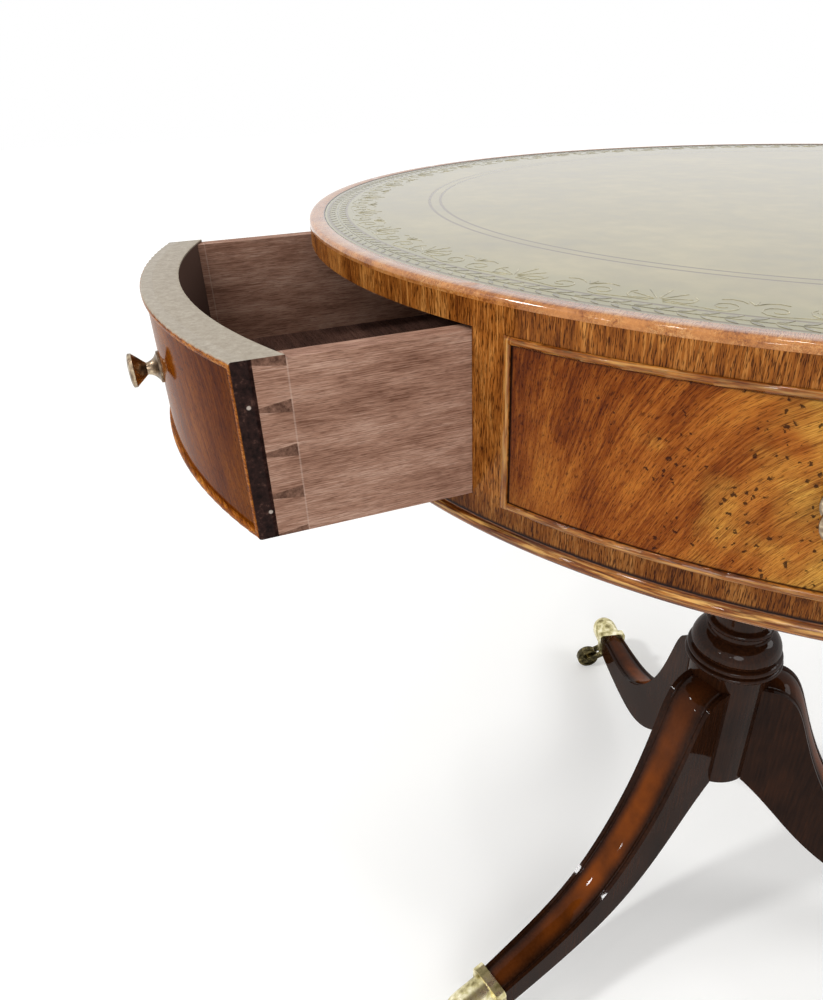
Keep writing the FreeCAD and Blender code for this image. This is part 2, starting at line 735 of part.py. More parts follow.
# One leg along X: lofted, coped to the column, with a dovetail for the hub and a tenon for
# the toe cap
legMiddles = [
    ((ridge[0] + sole[0]) / 2, (ridge[1] + sole[1]) / 2)
    for ridge, sole in zip(ridgeShares, soleShares)
]
stations = [0.0]
for before, after in zip(legMiddles, legMiddles[1:]):
    stations.append(stations[-1] + math.dist(before, after))
ridgeLine = leg_line(ridgeShares, stations)
soleLine = leg_line(soleShares, stations)
legSections = []
for step in range(legStations + 1):
    station = stations[-1] * step / legStations
    ridge, sole = ridgeLine.value(station), soleLine.value(station)
    along = (ridge.x + sole.x) / 2 / legReach.value
    width = legWidthHub.value + (legWidthToe.value - legWidthHub.value) * along
    legSections.append(leg_section(ridge, sole, width / 2))
legForm = doc.addObject("Part::Feature", "leg_form")
legForm.Shape = Part.makeLoft(legSections, True, False)
dovetailX = hubRadius - dovetailDepth
dovetailEnd = hubRadius + dovetailRoot
legDovetail = padded("leg_dovetail", "XY_Plane", [[
    (dovetailX, -dovetailWide / 2), (dovetailEnd, -dovetailNarrow / 2),
    (dovetailEnd, dovetailNarrow / 2), (dovetailX, dovetailWide / 2),
]], dovetailHeight)
move(legDovetail, 0, 0, hubFloor)
legTenon = block(
    "leg_tenon", (legReach - tenonRoot, -tenonWidth / 2, tenonFloor),
    (tenonRoot + tenonLength, tenonWidth, tenonHeight),
)
hubSpace = rod("hub_space", hubRadius, tableHeight, (0, 0, 0))
legCoped = cut("leg_coped", legForm, hubSpace)
leg = fuse("leg", legCoped, legDovetail, legTenon)

# One toe cap along X: collar, rounded toe and a flat seat for the castor
capTop = capFloor + capHeight
capAcross = capHalfWidth - capRound
capCollar = padded("cap_collar", "YZ_Plane", [[
    (capAcross, capFloor), (capHalfWidth, capFloor + capRound, capRound),
    (capHalfWidth, capTop - capRound), (capAcross, capTop, capRound), (-capAcross, capTop),
    (-capHalfWidth, capTop - capRound, capRound), (-capHalfWidth, capFloor + capRound),
    (-capAcross, capFloor, capRound),
]], collarLength)
move(capCollar, legReach, 0, 0)
toeMiddle = capFloor + toeRadius
toeStraight = toeLength - collarLength - toeNose
toeSides = [(0, 0), (toeRadius, 0), (toeRadius, toeStraight)]
toe = turned("toe", toeSides + domed(toeRadius, toeStraight, toeNose))
toe.Placement = FreeCAD.Placement(FreeCAD.Vector(), FreeCAD.Rotation(sidelong, 90))
move(toe, legReach + collarLength, 0, toeMiddle)
toeBoss = rod("toe_boss", bossRadius, toeRadius, (swivelReach, 0, capFloor))
capForm = fuse("cap_form", capCollar, toe, toeBoss)
stemBore = rod(
    "stem_bore", stemRadius + runningFit, stemLength + stemRoom, (swivelReach, 0, capFloor),
)
toeCap = cut("toe_cap", capForm, legTenon, stemBore)

# One castor along X: stem, plate and horn, with the wheel beside the stem
plateTop = capFloor - castorGap
stem = rod("castor_stem", stemRadius, stemLength, (swivelReach, 0, plateTop))
plate = rod("castor_plate", bossRadius, plateThickness, (swivelReach, 0, plateTop - plateThickness))
cheekTop = plateTop - cheekDrop
cheekFall = wheelRadius - cheekTop
cheekLength = root(wheelTrail * wheelTrail + cheekFall * cheekFall)
runY = wheelTrail / cheekLength * cheekRound
runZ = cheekFall / cheekLength * cheekRound
cheek = padded("castor_cheek", "YZ_Plane", [[
    (-runZ, cheekTop + runY), (-runY, cheekTop - runZ, cheekRound),
    (runZ, cheekTop - runY, cheekRound), (wheelTrail + runZ, wheelRadius - runY),
    (wheelTrail + runY, wheelRadius + runZ, cheekRound),
    (wheelTrail - runZ, wheelRadius + runY, cheekRound),
]], cheekThickness)
cheekInside = wheelWidth / 2 + wheelGap
move(cheek, swivelReach + cheekInside, 0, 0)
cheekCopy = doc.addObject("Part::Compound", "castor_cheek_copy")
cheekCopy.Links = [cheek]
move(cheekCopy, -2 * cheekInside - cheekThickness, 0, 0)
axleHalf = cheekInside + cheekThickness + axleEnd
axle = rod("castor_axle", axleRadius, 2 * axleHalf, (0, 0, 0))
axle.Placement = FreeCAD.Placement(FreeCAD.Vector(), FreeCAD.Rotation(sidelong, 90))
move(axle, swivelReach - axleHalf, wheelTrail, wheelRadius)
castor = cut("castor", fuse("castor_form", stem, plate, cheek, cheekCopy), axle)

wheelHalf = wheelWidth / 2
wheelBore = axleRadius + runningFit
dishHalf = wheelHalf - wheelDish
wheelSide = [
    (wheelRadius, wheelHalf - wheelRound), (wheelRadius - wheelRound, wheelHalf, wheelRound),
    (wheelRimRadius, wheelHalf), (wheelRimRadius, dishHalf), (wheelBossRadius, dishHalf),
    (wheelBossRadius, wheelHalf), (wheelBore, wheelHalf),
]
wheel = turned("castor_wheel", [
    (wheelBore, -wheelHalf), (wheelBossRadius, -wheelHalf), (wheelBossRadius, -dishHalf),
    (wheelRimRadius, -dishHalf), (wheelRimRadius, -wheelHalf),
    (wheelRadius - wheelRound, -wheelHalf), (wheelRadius, wheelRound - wheelHalf, wheelRound),
] + wheelSide)
wheel.Placement = FreeCAD.Placement(FreeCAD.Vector(), FreeCAD.Rotation(sidelong, 90))
move(wheel, swivelReach, wheelTrail, wheelRadius)

# The three legs, each with its cap and castor, and the sockets that their dovetails cut
legPieces = [
    ("leg", leg), ("toe_cap", toeCap), ("castor_horn", castor), ("castor_axle", axle),
    ("castor_wheel", wheel),
]
sockets = []
for number in range(1, 4):
    bearing = legBearing + 120 * (number - 1)
    for piece, source in legPieces:
        label = "%s_%d" % (piece, number)
        node(label, placed(label, source, bearing))
    sockets.append(placed("socket_%d" % number, legDovetail, bearing))
node("column", cut("column", columnTurned, spindle, *sockets))

# Every object and every piece is sound before anything is written
doc.recompute()
for item in doc.Objects:
    if "Invalid" in item.State or "Error" in item.State:
        raise RuntimeError("%s failed: %s" % (item.Label, item.State))
for item in nodes:
    if item.Shape.isNull() or not item.Shape.isValid():
        raise RuntimeError("%s has no sound shape" % item.Label)
    if not item.Shape.Solids:
        raise RuntimeError("%s has no solid" % item.Label)

os.makedirs("parts", exist_ok=True)
for item in nodes:
    item.Shape.exportStep("parts/%s.step" % item.Label)
print("%d nodes, %d solids" % (len(nodes), sum(len(item.Shape.Solids) for item in nodes)))
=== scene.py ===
import math

import bmesh
import bpy
from mathutils import Matrix, Vector


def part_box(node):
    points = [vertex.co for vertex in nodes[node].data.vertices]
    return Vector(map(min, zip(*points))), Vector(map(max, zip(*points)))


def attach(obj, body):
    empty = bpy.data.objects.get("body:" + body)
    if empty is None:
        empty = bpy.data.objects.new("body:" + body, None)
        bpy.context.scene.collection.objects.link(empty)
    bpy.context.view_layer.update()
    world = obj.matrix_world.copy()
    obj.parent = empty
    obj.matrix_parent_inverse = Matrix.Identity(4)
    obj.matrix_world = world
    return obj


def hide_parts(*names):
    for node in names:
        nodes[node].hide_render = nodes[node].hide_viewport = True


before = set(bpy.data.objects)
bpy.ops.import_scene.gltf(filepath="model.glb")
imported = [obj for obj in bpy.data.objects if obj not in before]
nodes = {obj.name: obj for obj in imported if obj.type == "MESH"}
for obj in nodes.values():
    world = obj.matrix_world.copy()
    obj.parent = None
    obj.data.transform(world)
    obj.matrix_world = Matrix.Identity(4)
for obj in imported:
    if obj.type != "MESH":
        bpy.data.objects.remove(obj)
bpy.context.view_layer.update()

print("frame loaded:", len(nodes), "nodes")

# Blender's names of the nodes that are used most, and two settings that recur
maths = "ShaderNodeMath"
remap = "ShaderNodeMapRange"
noise = "ShaderNodeTexNoise"
cells = "ShaderNodeTexVoronoi"
ramp = "ShaderNodeValToRGB"
mixer = "ShaderNodeMix"
split = "ShaderNodeSeparateXYZ"
join = "ShaderNodeCombineXYZ"
stretch = "ShaderNodeVectorMath"
relief = "ShaderNodeBump"
tint = {"data_type": "RGBA"}
soft = {"interpolation_type": "SMOOTHSTEP"}
perMetre = 1000.0    # millimetres


def linear(hexColour):
    # sRGB hex to the linear colour that the shaders take
    parts = [int(hexColour[i:i + 2], 16) / 255 for i in (1, 3, 5)]
    return tuple(p / 12.92 if p <= 0.04045 else ((p + 0.055) / 1.055) ** 2.4 for p in parts) + (1.0,)


def addNode(tree, kind, inputs=None, stops=None, **settings):
    # one node with its settings, values, links and colour stops; gives its first live output
    # a tuple of sockets takes a tuple of values
    node = tree.nodes.new(kind)
    for name, value in settings.items():
        setattr(node, name, value)
    for names, values in (inputs or {}).items():
        for name, value in zip(names, values) if isinstance(names, tuple) else [(names, values)]:
            if isinstance(value, bpy.types.NodeSocket):
                tree.links.new(value, node.inputs[name])
            else:
                node.inputs[name].default_value = linear(value) if isinstance(value, str) else value
    for number, (place, colour) in enumerate(stops or []):
        elements = node.color_ramp.elements
        element = elements[number] if number < len(elements) else elements.new(place)
        element.position = place
        element.color = linear(colour)
    return next((socket for socket in node.outputs if socket.enabled), None)


def newMaterial(name, finish):
    # a Principled material; finish holds what is the same all over, spot is in millimetres
    material = bpy.data.materials.new(name)
    material.use_nodes = True
    tree = material.node_tree
    shader = tree.nodes["Principled BSDF"]
    for socket, value in finish.items():
        shader.inputs[socket].default_value = value
    place = addNode(tree, "ShaderNodeTexCoord").node.outputs["Object"]
    spot = addNode(tree, stretch, {0: place, "Scale": perMetre}, operation="SCALE")
    return material, tree, shader, spot


def wire(shader, links):
    # links what varies over the surface
    for socket, value in links.items():
        shader.id_data.links.new(value, shader.inputs[socket])


# Stage: pale floor, white surroundings, ceiling lamps, low lamps for glints and a soft fill
stageLook = {
    "floorColour": "#f4f4f2", "floorRoughness": 0.9,
    "floorRadius": 14.0, "floorSides": 96,
    "floorGlow": (0.12, 0.5),     # lifts the floor to white, near the table and far from it
    "glowReach": (900.0, 4000.0),     # mm from the table's axis
    "skyStrength": 0.66,
    "lamps": [  # place, aimed at, diameter, watts
        ((-0.5, -2.1, 2.2), (0.1, -0.2, 0.5), 0.3, 26.0),
        ((2.2, -1.4, 1.6), (0.1, -0.1, 0.5), 1.1, 16.0),
        ((0.6, 2.4, 2.2), (0.0, 0.0, 0.7), 1.4, 20.0),
        ((0.4, -0.5, 2.6), (0.1, -0.2, 0.6), 0.13, 4.0),
        ((1.1, -0.2, 2.6), (0.1, -0.2, 0.6), 0.13, 3.0),
        ((0.2, -1.2, 2.6), (0.1, -0.2, 0.6), 0.13, 3.0),
        ((1.3, -1.7, 1.2), (0.0, 0.0, 0.4), 0.1, 1.8),
        ((0.4, -2.3, 1.25), (0.0, 0.0, 0.4), 0.1, 1.8),
    ],
}


def seenDirectly(tree):
    # 1 where a ray comes from the camera, a mirror or glass, and 0 where it only lights something
    path = addNode(tree, "ShaderNodeLightPath").node.outputs
    seen = addNode(tree, maths, {0: path["Is Camera Ray"], 1: path["Is Glossy Ray"]}, operation="MAXIMUM")
    return addNode(tree, maths, {0: seen, 1: path["Is Transmission Ray"]}, operation="MAXIMUM")


def buildFloor():
    mesh = bpy.data.meshes.new("studioFloor")
    disc = bmesh.new()
    bmesh.ops.create_circle(
        disc, cap_ends=True, segments=stageLook["floorSides"], radius=stageLook["floorRadius"])
    disc.to_mesh(mesh)
    disc.free()
    floor = bpy.data.objects.new("studioFloor", mesh)
    bpy.context.collection.objects.link(floor)
    # matt paint, so that the shadow stays
    paint, tree, shader, spot = newMaterial("matt pale studio floor", {
        "Roughness": stageLook["floorRoughness"], "Base Color": linear(stageLook["floorColour"]),
        "Emission Color": (1.0, 1.0, 1.0, 1.0)})
    away = addNode(tree, stretch, {0: spot}, operation="LENGTH")
    glow = addNode(tree, remap, {
        0: away, (1, 2): stageLook["glowReach"], (3, 4): stageLook["floorGlow"]}, **soft)
    glow = addNode(tree, maths, {0: seenDirectly(tree), 1: glow}, operation="MULTIPLY")
    wire(shader, {"Emission Strength": glow})
    mesh.materials.append(paint)


def buildLight():
    world = bpy.data.worlds.new("studioSky")
    bpy.context.scene.world = world
    world.use_nodes = True
    tree = world.node_tree
    strength = addNode(tree, remap, {0: seenDirectly(tree), 3: stageLook["skyStrength"], 4: 1.0})
    backdrop = tree.nodes["Background"]
    backdrop.inputs["Color"].default_value = (1.0, 1.0, 1.0, 1.0)
    wire(backdrop, {"Strength": strength})
    for number, (place, aim, diameter, watts) in enumerate(stageLook["lamps"]):
        light = bpy.data.lights.new("studioLamp%d" % number, "AREA")
        light.shape = "DISK"
        light.size = diameter
        light.energy = watts
        lamp = bpy.data.objects.new(light.name, light)
        lamp.location = place
        lamp.rotation_euler = (Vector(aim) - Vector(place)).to_track_quat("-Z", "Y").to_euler()
        bpy.context.collection.objects.link(lamp)


# Camera: found from the photograph's outlines, in metres and degrees
cameraView = {
    "place": (0.4356, -0.4980, 0.8546),
    "yaw": -68.5055,
    "pitch": 30.7248,
    "roll": -1.6903,
    "lens": 26.602,   # 738.95 px of an image 1000 px high
    "sensor": 36.0,
    "shift": (-0.02827, 0.01297),
    "nearest": 0.01,
}


def buildCamera():
    yaw, pitch, roll = (math.radians(cameraView[key]) for key in ("yaw", "pitch", "roll"))
    ahead = Vector((math.sin(yaw) * math.cos(pitch), math.cos(yaw) * math.cos(pitch), -math.sin(pitch)))
    level = Vector((math.cos(yaw), -math.sin(yaw), 0.0))
    up = level.cross(ahead)
    across = level * math.cos(roll) + up * math.sin(roll)
    upright = up * math.cos(roll) - level * math.sin(roll)
    turn = Matrix((across, upright, -ahead)).transposed().to_4x4()
    lensData = bpy.data.cameras.new("tableCamera")
    lensData.sensor_width = cameraView["sensor"]
    lensData.lens = cameraView["lens"]
    lensData.shift_x, lensData.shift_y = cameraView["shift"]
    lensData.clip_start = cameraView["nearest"]
    camera = bpy.data.objects.new("tableCamera", lensData)
    camera.matrix_world = Matrix.Translation(cameraView["place"]) @ turn
    bpy.context.collection.objects.link(camera)
    bpy.context.scene.camera = camera


bpy.context.scene.view_settings.view_transform = "Standard"
buildFloor()
buildLight()
buildCamera()
print("stage and camera ready")

# Places that several pieces share, in millimetres and degrees, from the frame but for the last two
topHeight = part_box("top_margin")[1].z * perMetre
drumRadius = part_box("top_margin")[1].x * perMetre
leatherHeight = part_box("leather_top")[1].z * perMetre
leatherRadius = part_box("leather_top")[1].x * perMetre
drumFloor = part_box("bottom_board")[0].z * perMetre
dummyLow, dummyHigh = (corner.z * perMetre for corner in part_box("dummy_fronts"))
frontLow, frontHigh = (corner.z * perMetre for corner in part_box("drawer_1_front"))
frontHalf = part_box("drawer_1_front")[1].x * perMetre
frontChord = math.sqrt(drumRadius ** 2 - frontHalf ** 2)
dummyTurn = 45.0     # where the first dummy front faces
cockWidth = 3.6      # of a cock bead's face


def polar(tree, spot):
    # bearing about the table's axis, distance from it and height
    xyz = addNode(tree, split, {0: spot}).node.outputs
    bearing = addNode(tree, maths, {0: xyz[1], 1: xyz[0]}, operation="ARCTAN2")
    flat = addNode(tree, join, {0: xyz[0], 1: xyz[1]})
    reach = addNode(tree, stretch, {0: flat}, operation="LENGTH")
    return bearing, reach, xyz[2]


def dummyAxes(tree, spot):
    # sideways distance from the middle of the nearest dummy front, and height
    bearing, reach, height = polar(tree, spot)
    offset = addNode(tree, maths, {0: bearing, 1: math.radians(dummyTurn)}, operation="SUBTRACT")
    offset = addNode(tree, maths, {0: offset, 1: math.pi / 4, 2: -math.pi / 4}, operation="WRAP")
    sine = addNode(tree, maths, {0: offset}, operation="SINE")
    return addNode(tree, maths, {0: reach, 1: sine}, operation="MULTIPLY"), height


def drawerAxes(tree, spot):
    # outward and sideways distance in a drawer on any of the four sides, and height
    xyz = addNode(tree, split, {0: spot}).node.outputs
    sizeX = addNode(tree, maths, {0: xyz[0]}, operation="ABSOLUTE")
    sizeY = addNode(tree, maths, {0: xyz[1]}, operation="ABSOLUTE")
    outward = addNode(tree, maths, {0: sizeX, 1: sizeY}, operation="MAXIMUM")
    facesY = addNode(tree, maths, {0: sizeX, 1: sizeY}, operation="LESS_THAN")
    sideways = addNode(tree, mixer, {0: facesY, 2: xyz[1], 3: xyz[0]})
    return outward, sideways, xyz[2]


# Grain directions: each gives a spot in millimetres whose Z runs along the grain
def uprightGrain(tree, spot):
    return spot


def radialGrain(tree, spot):
    # crossbanding, out from the middle of the top
    bearing, reach, height = polar(tree, spot)
    arc = addNode(tree, maths, {0: bearing, 1: drumRadius}, operation="MULTIPLY")
    return addNode(tree, join, {0: arc, 1: height, 2: reach})


def circlingGrain(tree, spot):
    # round the drum, along the bead at its foot
    bearing, reach, height = polar(tree, spot)
    arc = addNode(tree, maths, {0: bearing, 1: drumRadius}, operation="MULTIPLY")
    return addNode(tree, join, {0: reach, 1: height, 2: arc})


def cockGrain(tree, spot):
    # along each strip of a cock bead: upright at the ends of a front, round the drum elsewhere
    sideways, height = dummyAxes(tree, spot)
    bearing = polar(tree, spot)[0]
    arc = addNode(tree, maths, {0: bearing, 1: drumRadius}, operation="MULTIPLY")
    aside = addNode(tree, maths, {0: sideways}, operation="ABSOLUTE")
    ends = addNode(tree, maths, {0: aside, 1: frontHalf - cockWidth}, operation="GREATER_THAN")
    along = addNode(tree, mixer, {0: ends, 2: arc, 3: height})
    across = addNode(tree, mixer, {0: ends, 2: height, 3: arc})
    return addNode(tree, join, {0: across, 2: along})


def outwardGrain(tree, spot):
    outward, sideways, height = drawerAxes(tree, spot)
    return addNode(tree, join, {0: sideways, 1: height, 2: outward})


def sidewaysGrain(tree, spot):
    outward, sideways, height = drawerAxes(tree, spot)
    return addNode(tree, join, {0: outward, 1: height, 2: sideways})


# In the looks below, a grain pattern is its size in millimetres, its run along the grain and its detail,
# and any other pattern has the settings of its noise, with one over its size in millimetres as its scale.
# A range is where something begins and ends. A gloss is a pattern's range, if it isn't 0 to 1, and the
# roughness at both ends of it. A bump is its strength and its depth in metres.
grainLook = {
    "roughness": 0.65,
    "levels": (0.34, 0.5, 0.66),    # of the noise, where the dark, middle and light tone stand
    "pores": (0.5, 0.62),
    "poreDull": 0.2,                # how much duller a pore is
    "bump": (0.25, 0.00006),
}


def mahogany(name, look, grain, finish, aging=None):
    # Cuban mahogany, solid or as veneer: stripes, streaks and short dark pores along the grain
    material, tree, shader, spot = newMaterial(name, finish)
    flow = grain(tree, spot)
    patterns = []
    for size, run, detail in (look["stripe"], look["streak"], look["pore"]):
        drawn = addNode(tree, stretch, {0: flow, 1: (1, 1, 1 / run)}, operation="MULTIPLY")
        patterns.append(addNode(tree, noise, {
            "Vector": drawn, "Scale": 1 / size, "Detail": detail, "Roughness": grainLook["roughness"]}))
    stripes, streaks, flecks = patterns
    tone = addNode(tree, mixer, {0: look["streakShare"], 2: stripes, 3: streaks})
    colour = addNode(tree, ramp, {0: tone}, zip(grainLook["levels"], look["tones"]))
    pores = addNode(tree, remap, {0: flecks, (1, 2): grainLook["pores"]}, **soft)
    stain = addNode(tree, maths, {0: pores, 1: look["poreDepth"]}, operation="MULTIPLY")
    colour = addNode(tree, mixer, {0: stain, 6: colour, 7: look["tones"][0]}, **tint, blend_type="MULTIPLY")
    if aging:
        colour = aging(tree, spot, colour)
    dullest = finish["Roughness"] + grainLook["poreDull"]
    gloss = addNode(tree, remap, {0: pores, 3: finish["Roughness"], 4: dullest})
    depth = addNode(tree, maths, {0: streaks, 1: pores}, operation="SUBTRACT")
    bumps = addNode(tree, relief, {("Strength", "Distance"): grainLook["bump"], "Height": depth})
    wire(shader, {"Base Color": colour, "Roughness": gloss, "Normal": bumps})
    return material


# Pores are drawn about twice as wide as real ones, so that they show
veneerLook = {
    "stripe": (16.0, 5.0, 4.0), "streak": (0.9, 20.0, 4.0), "pore": (0.42, 7.0, 1.5), "streakShare": 0.5,
}
polish = {
    "Roughness": 0.38, "Specular IOR Level": 0.0,
    "Coat Weight": 0.35, "Coat Roughness": 0.12, "Coat IOR": 1.3,
}
glaze = {
    "Roughness": 0.34, "Specular IOR Level": 0.1,
    "Coat Weight": 0.9, "Coat Roughness": 0.09, "Coat IOR": 1.45,
}
bare = {"Roughness": 0.62, "Specular IOR Level": 0.2}

friezeLook = dict(
    veneerLook, tones=("#3e1607", "#894f1c", "#c18645"), poreDepth=0.8, pore=(0.42, 11.0, 1.5),
    # heights above the drum's floor, mm
    shade=(30.0, 14.0), shadeShare=0.4, shadeTone="#4a2008",
    line=(11.2, 9.3), quirkShadeTone="#1c0f0a",
    under=(0.6, 0.2), underShare=0.65, underTone="#4a3225")


def paintedShadeAtFoot(tree, spot, colour):
    # rails darker towards the bead as painted shade, a dark line of painted shade in the quirk above it, and
    # a dull underside
    look = friezeLook
    height = addNode(tree, split, {0: spot}).node.outputs[2]
    rise = addNode(tree, maths, {0: height, 1: drumFloor}, operation="SUBTRACT")
    # painted shade: the rails darken towards the bead
    low = addNode(tree, remap, {0: rise, (1, 2): look["shade"], 4: look["shadeShare"]}, **soft)
    colour = addNode(tree, mixer, {0: low, 6: colour, 7: look["shadeTone"]}, **tint, blend_type="MULTIPLY")
    dull = addNode(tree, mixer, {0: look["underShare"], 6: colour, 7: look["underTone"]}, **tint)
    # painted shade: a dark line in the quirk above the bead
    line = addNode(tree, remap, {0: rise, (1, 2): look["line"]}, **soft)
    colour = addNode(tree, mixer, {0: line, 6: colour, 7: look["quirkShadeTone"]}, **tint)
    under = addNode(tree, remap, {0: rise, (1, 2): look["under"]})
    return addNode(tree, mixer, {0: under, 6: colour, 7: dull}, **tint)


friezeWood = mahogany("straight mahogany veneer, polished", friezeLook, uprightGrain, polish, paintedShadeAtFoot)

marginLook = dict(
    veneerLook, tones=("#723a15", "#a1642c", "#c39057"), poreDepth=0.5, streak=(1.2, 8.0, 3.0),
    edge=(2.2, 1.0),     # inside the drum's radius, mm
    mottle={"Scale": 1 / 9.0, "Detail": 3.0}, rub=(0.4, 0.66), rubShare=0.7, arrisRubAndHighlightTone="#b87a40",
    joint=(1.2, 0.3), jointTone="#2a1a12")     # outside the leather's radius, mm


def arrisWearAndHighlight(tree, spot, colour):
    # the top's rounded edge, rubbed pale by sleeves and lightened further as a painted highlight, and the
    # dark joint with the leather
    look = marginLook
    reach = polar(tree, spot)[1]
    rub = addNode(tree, noise, {"Vector": spot, **look["mottle"]})
    # the pale rub on the arris is wear and a painted highlight
    worn = addNode(tree, remap, {0: rub, (1, 2): look["rub"], 4: look["rubShare"]}, **soft)
    inset = addNode(tree, maths, {0: drumRadius, 1: reach}, operation="SUBTRACT")
    edge = addNode(tree, remap, {0: inset, (1, 2): look["edge"]}, **soft)
    worn = addNode(tree, maths, {0: worn, 1: edge}, operation="MULTIPLY")
    colour = addNode(tree, mixer, {0: worn, 6: colour, 7: look["arrisRubAndHighlightTone"]}, **tint)
    past = addNode(tree, maths, {0: reach, 1: leatherRadius}, operation="SUBTRACT")
    joint = addNode(tree, remap, {0: past, (1, 2): look["joint"]}, **soft)
    return addNode(tree, mixer, {0: joint, 6: colour, 7: look["jointTone"]}, **tint)


marginWood = mahogany("crossbanded mahogany margin, polished", marginLook, radialGrain, glaze, arrisWearAndHighlight)

beadLook = {
    "tones": ("#2c0b01", "#6e370d", "#b0722e"), "poreDepth": 0.6, "streakShare": 0.6,
    "stripe": (9.0, 5.0, 3.0), "streak": (1.1, 30.0, 4.0), "pore": (0.4, 14.0, 1.0),
}
beadPolish = dict(polish, **{"Roughness": 0.3, "Coat Weight": 0.75, "Coat Roughness": 0.06, "Coat IOR": 1.42})
beadWearAndPaintedLightLook = {
    "sides": (0.5, 0.0), "sideShare": 0.85, "sideShadeTone": "#200d05",
    "streak": (1.6, 14.0, 4.0), "roughness": 0.6, "rub": (0.44, 0.64),
    "crest": (0.66, 1.0), "crestRubAndHighlightTone": "#dca95f",
    "footBared": 0.75, "cockBared": 0.4,      # share of the crest that is rubbed bare and given a painted highlight
    "footRise": (1.0, 5.0), "footFall": (9.0, 6.5),    # heights above the drum's floor, mm
    "footLeast": 0.3,                # crest left at the foot of the bead
    "cockProud": 1.8,
}


def crestWearAndHighlight(tree, crest, flow, bared, colour):
    # gold-brown wood rubbed bare along the crest of a bead, with a painted highlight there, and painted shade
    # down its sides
    look = beadWearAndPaintedLightLook
    # painted shade down the bead's sides
    sides = addNode(tree, remap, {0: crest, (1, 2): look["sides"], 4: look["sideShare"]}, **soft)
    colour = addNode(tree, mixer, {0: sides, 6: colour, 7: look["sideShadeTone"]}, **tint)
    size, run, detail = look["streak"]
    drawn = addNode(tree, stretch, {0: flow, 1: (1, 1, 1 / run)}, operation="MULTIPLY")
    rub = addNode(tree, noise, {
        "Vector": drawn, "Scale": 1 / size, "Detail": detail, "Roughness": look["roughness"]})
    rub = addNode(tree, remap, {0: rub, (1, 2): look["rub"], 4: bared}, **soft)
    # painted highlight along the crest, together with the wear
    top = addNode(tree, remap, {0: crest, (1, 2): look["crest"]}, **soft)
    rub = addNode(tree, maths, {0: rub, 1: top}, operation="MULTIPLY")
    return addNode(tree, mixer, {0: rub, 6: colour, 7: look["crestRubAndHighlightTone"]}, **tint)


def footBeadWearAndHighlight(tree, spot, colour):
    # the drum's foot bead is rubbed, and given its painted highlight, on its upper half
    height = addNode(tree, split, {0: spot}).node.outputs[2]
    rise = addNode(tree, maths, {0: height, 1: drumFloor}, operation="SUBTRACT")
    upper = addNode(tree, remap, {0: rise, (1, 2): beadWearAndPaintedLightLook["footFall"]})
    lower = addNode(tree, remap, {0: rise, (1, 2): beadWearAndPaintedLightLook["footRise"], 3: beadWearAndPaintedLightLook["footLeast"]})
    crest = addNode(tree, maths, {0: upper, 1: lower}, operation="MULTIPLY")
    return crestWearAndHighlight(tree, crest, circlingGrain(tree, spot), beadWearAndPaintedLightLook["footBared"], colour)


def cockBeadWearAndHighlight(tree, spot, colour):
    # a cock bead stands proud of the drum's face; its nose takes the wear and the painted highlight
    proud = addNode(tree, maths, {0: polar(tree, spot)[1], 1: drumRadius}, operation="SUBTRACT")
    crest = addNode(tree, remap, {0: proud, 2: beadWearAndPaintedLightLook["cockProud"]})
    return crestWearAndHighlight(tree, crest, cockGrain(tree, spot), beadWearAndPaintedLightLook["cockBared"], colour)


footBeadWood = mahogany("rubbed mahogany bead, worn to gold", beadLook, circlingGrain, beadPolish, footBeadWearAndHighlight)
cockBeadWood = mahogany("cock bead mahogany, worn to gold", dict(
    beadLook, tones=("#3a1405", "#7c4313", "#b87c36")), cockGrain, beadPolish, cockBeadWearAndHighlight)

flameLook = {
    "lean": (0.08, 1.15),    # sideways run of the grain for each mm of height, at the ends and the middle
    "bend": 1.3,             # how late that lean comes
    "swirl": {"Scale": 1 / 60.0, "Detail": 1.0}, "swirlShift": 10.0,
    "streakShare": 0.45, "levels": (0.34, 0.46, 0.55, 0.7),
    "curl": {"Scale": 1 / 26.0, "Detail": 2.0}, "curlInward": 0.9, "glow": (1.1, 1.48),
    "hatch": (0.36, 0.6), "hatchLeast": 0.1,
    "ends": (0.45, 0.0), "endShare": 0.5,
    "pores": (0.52, 0.64), "poreDepth": 0.65,
    "gloss": (0.36, 0.56), "bump": (0.2, 0.00005),
}


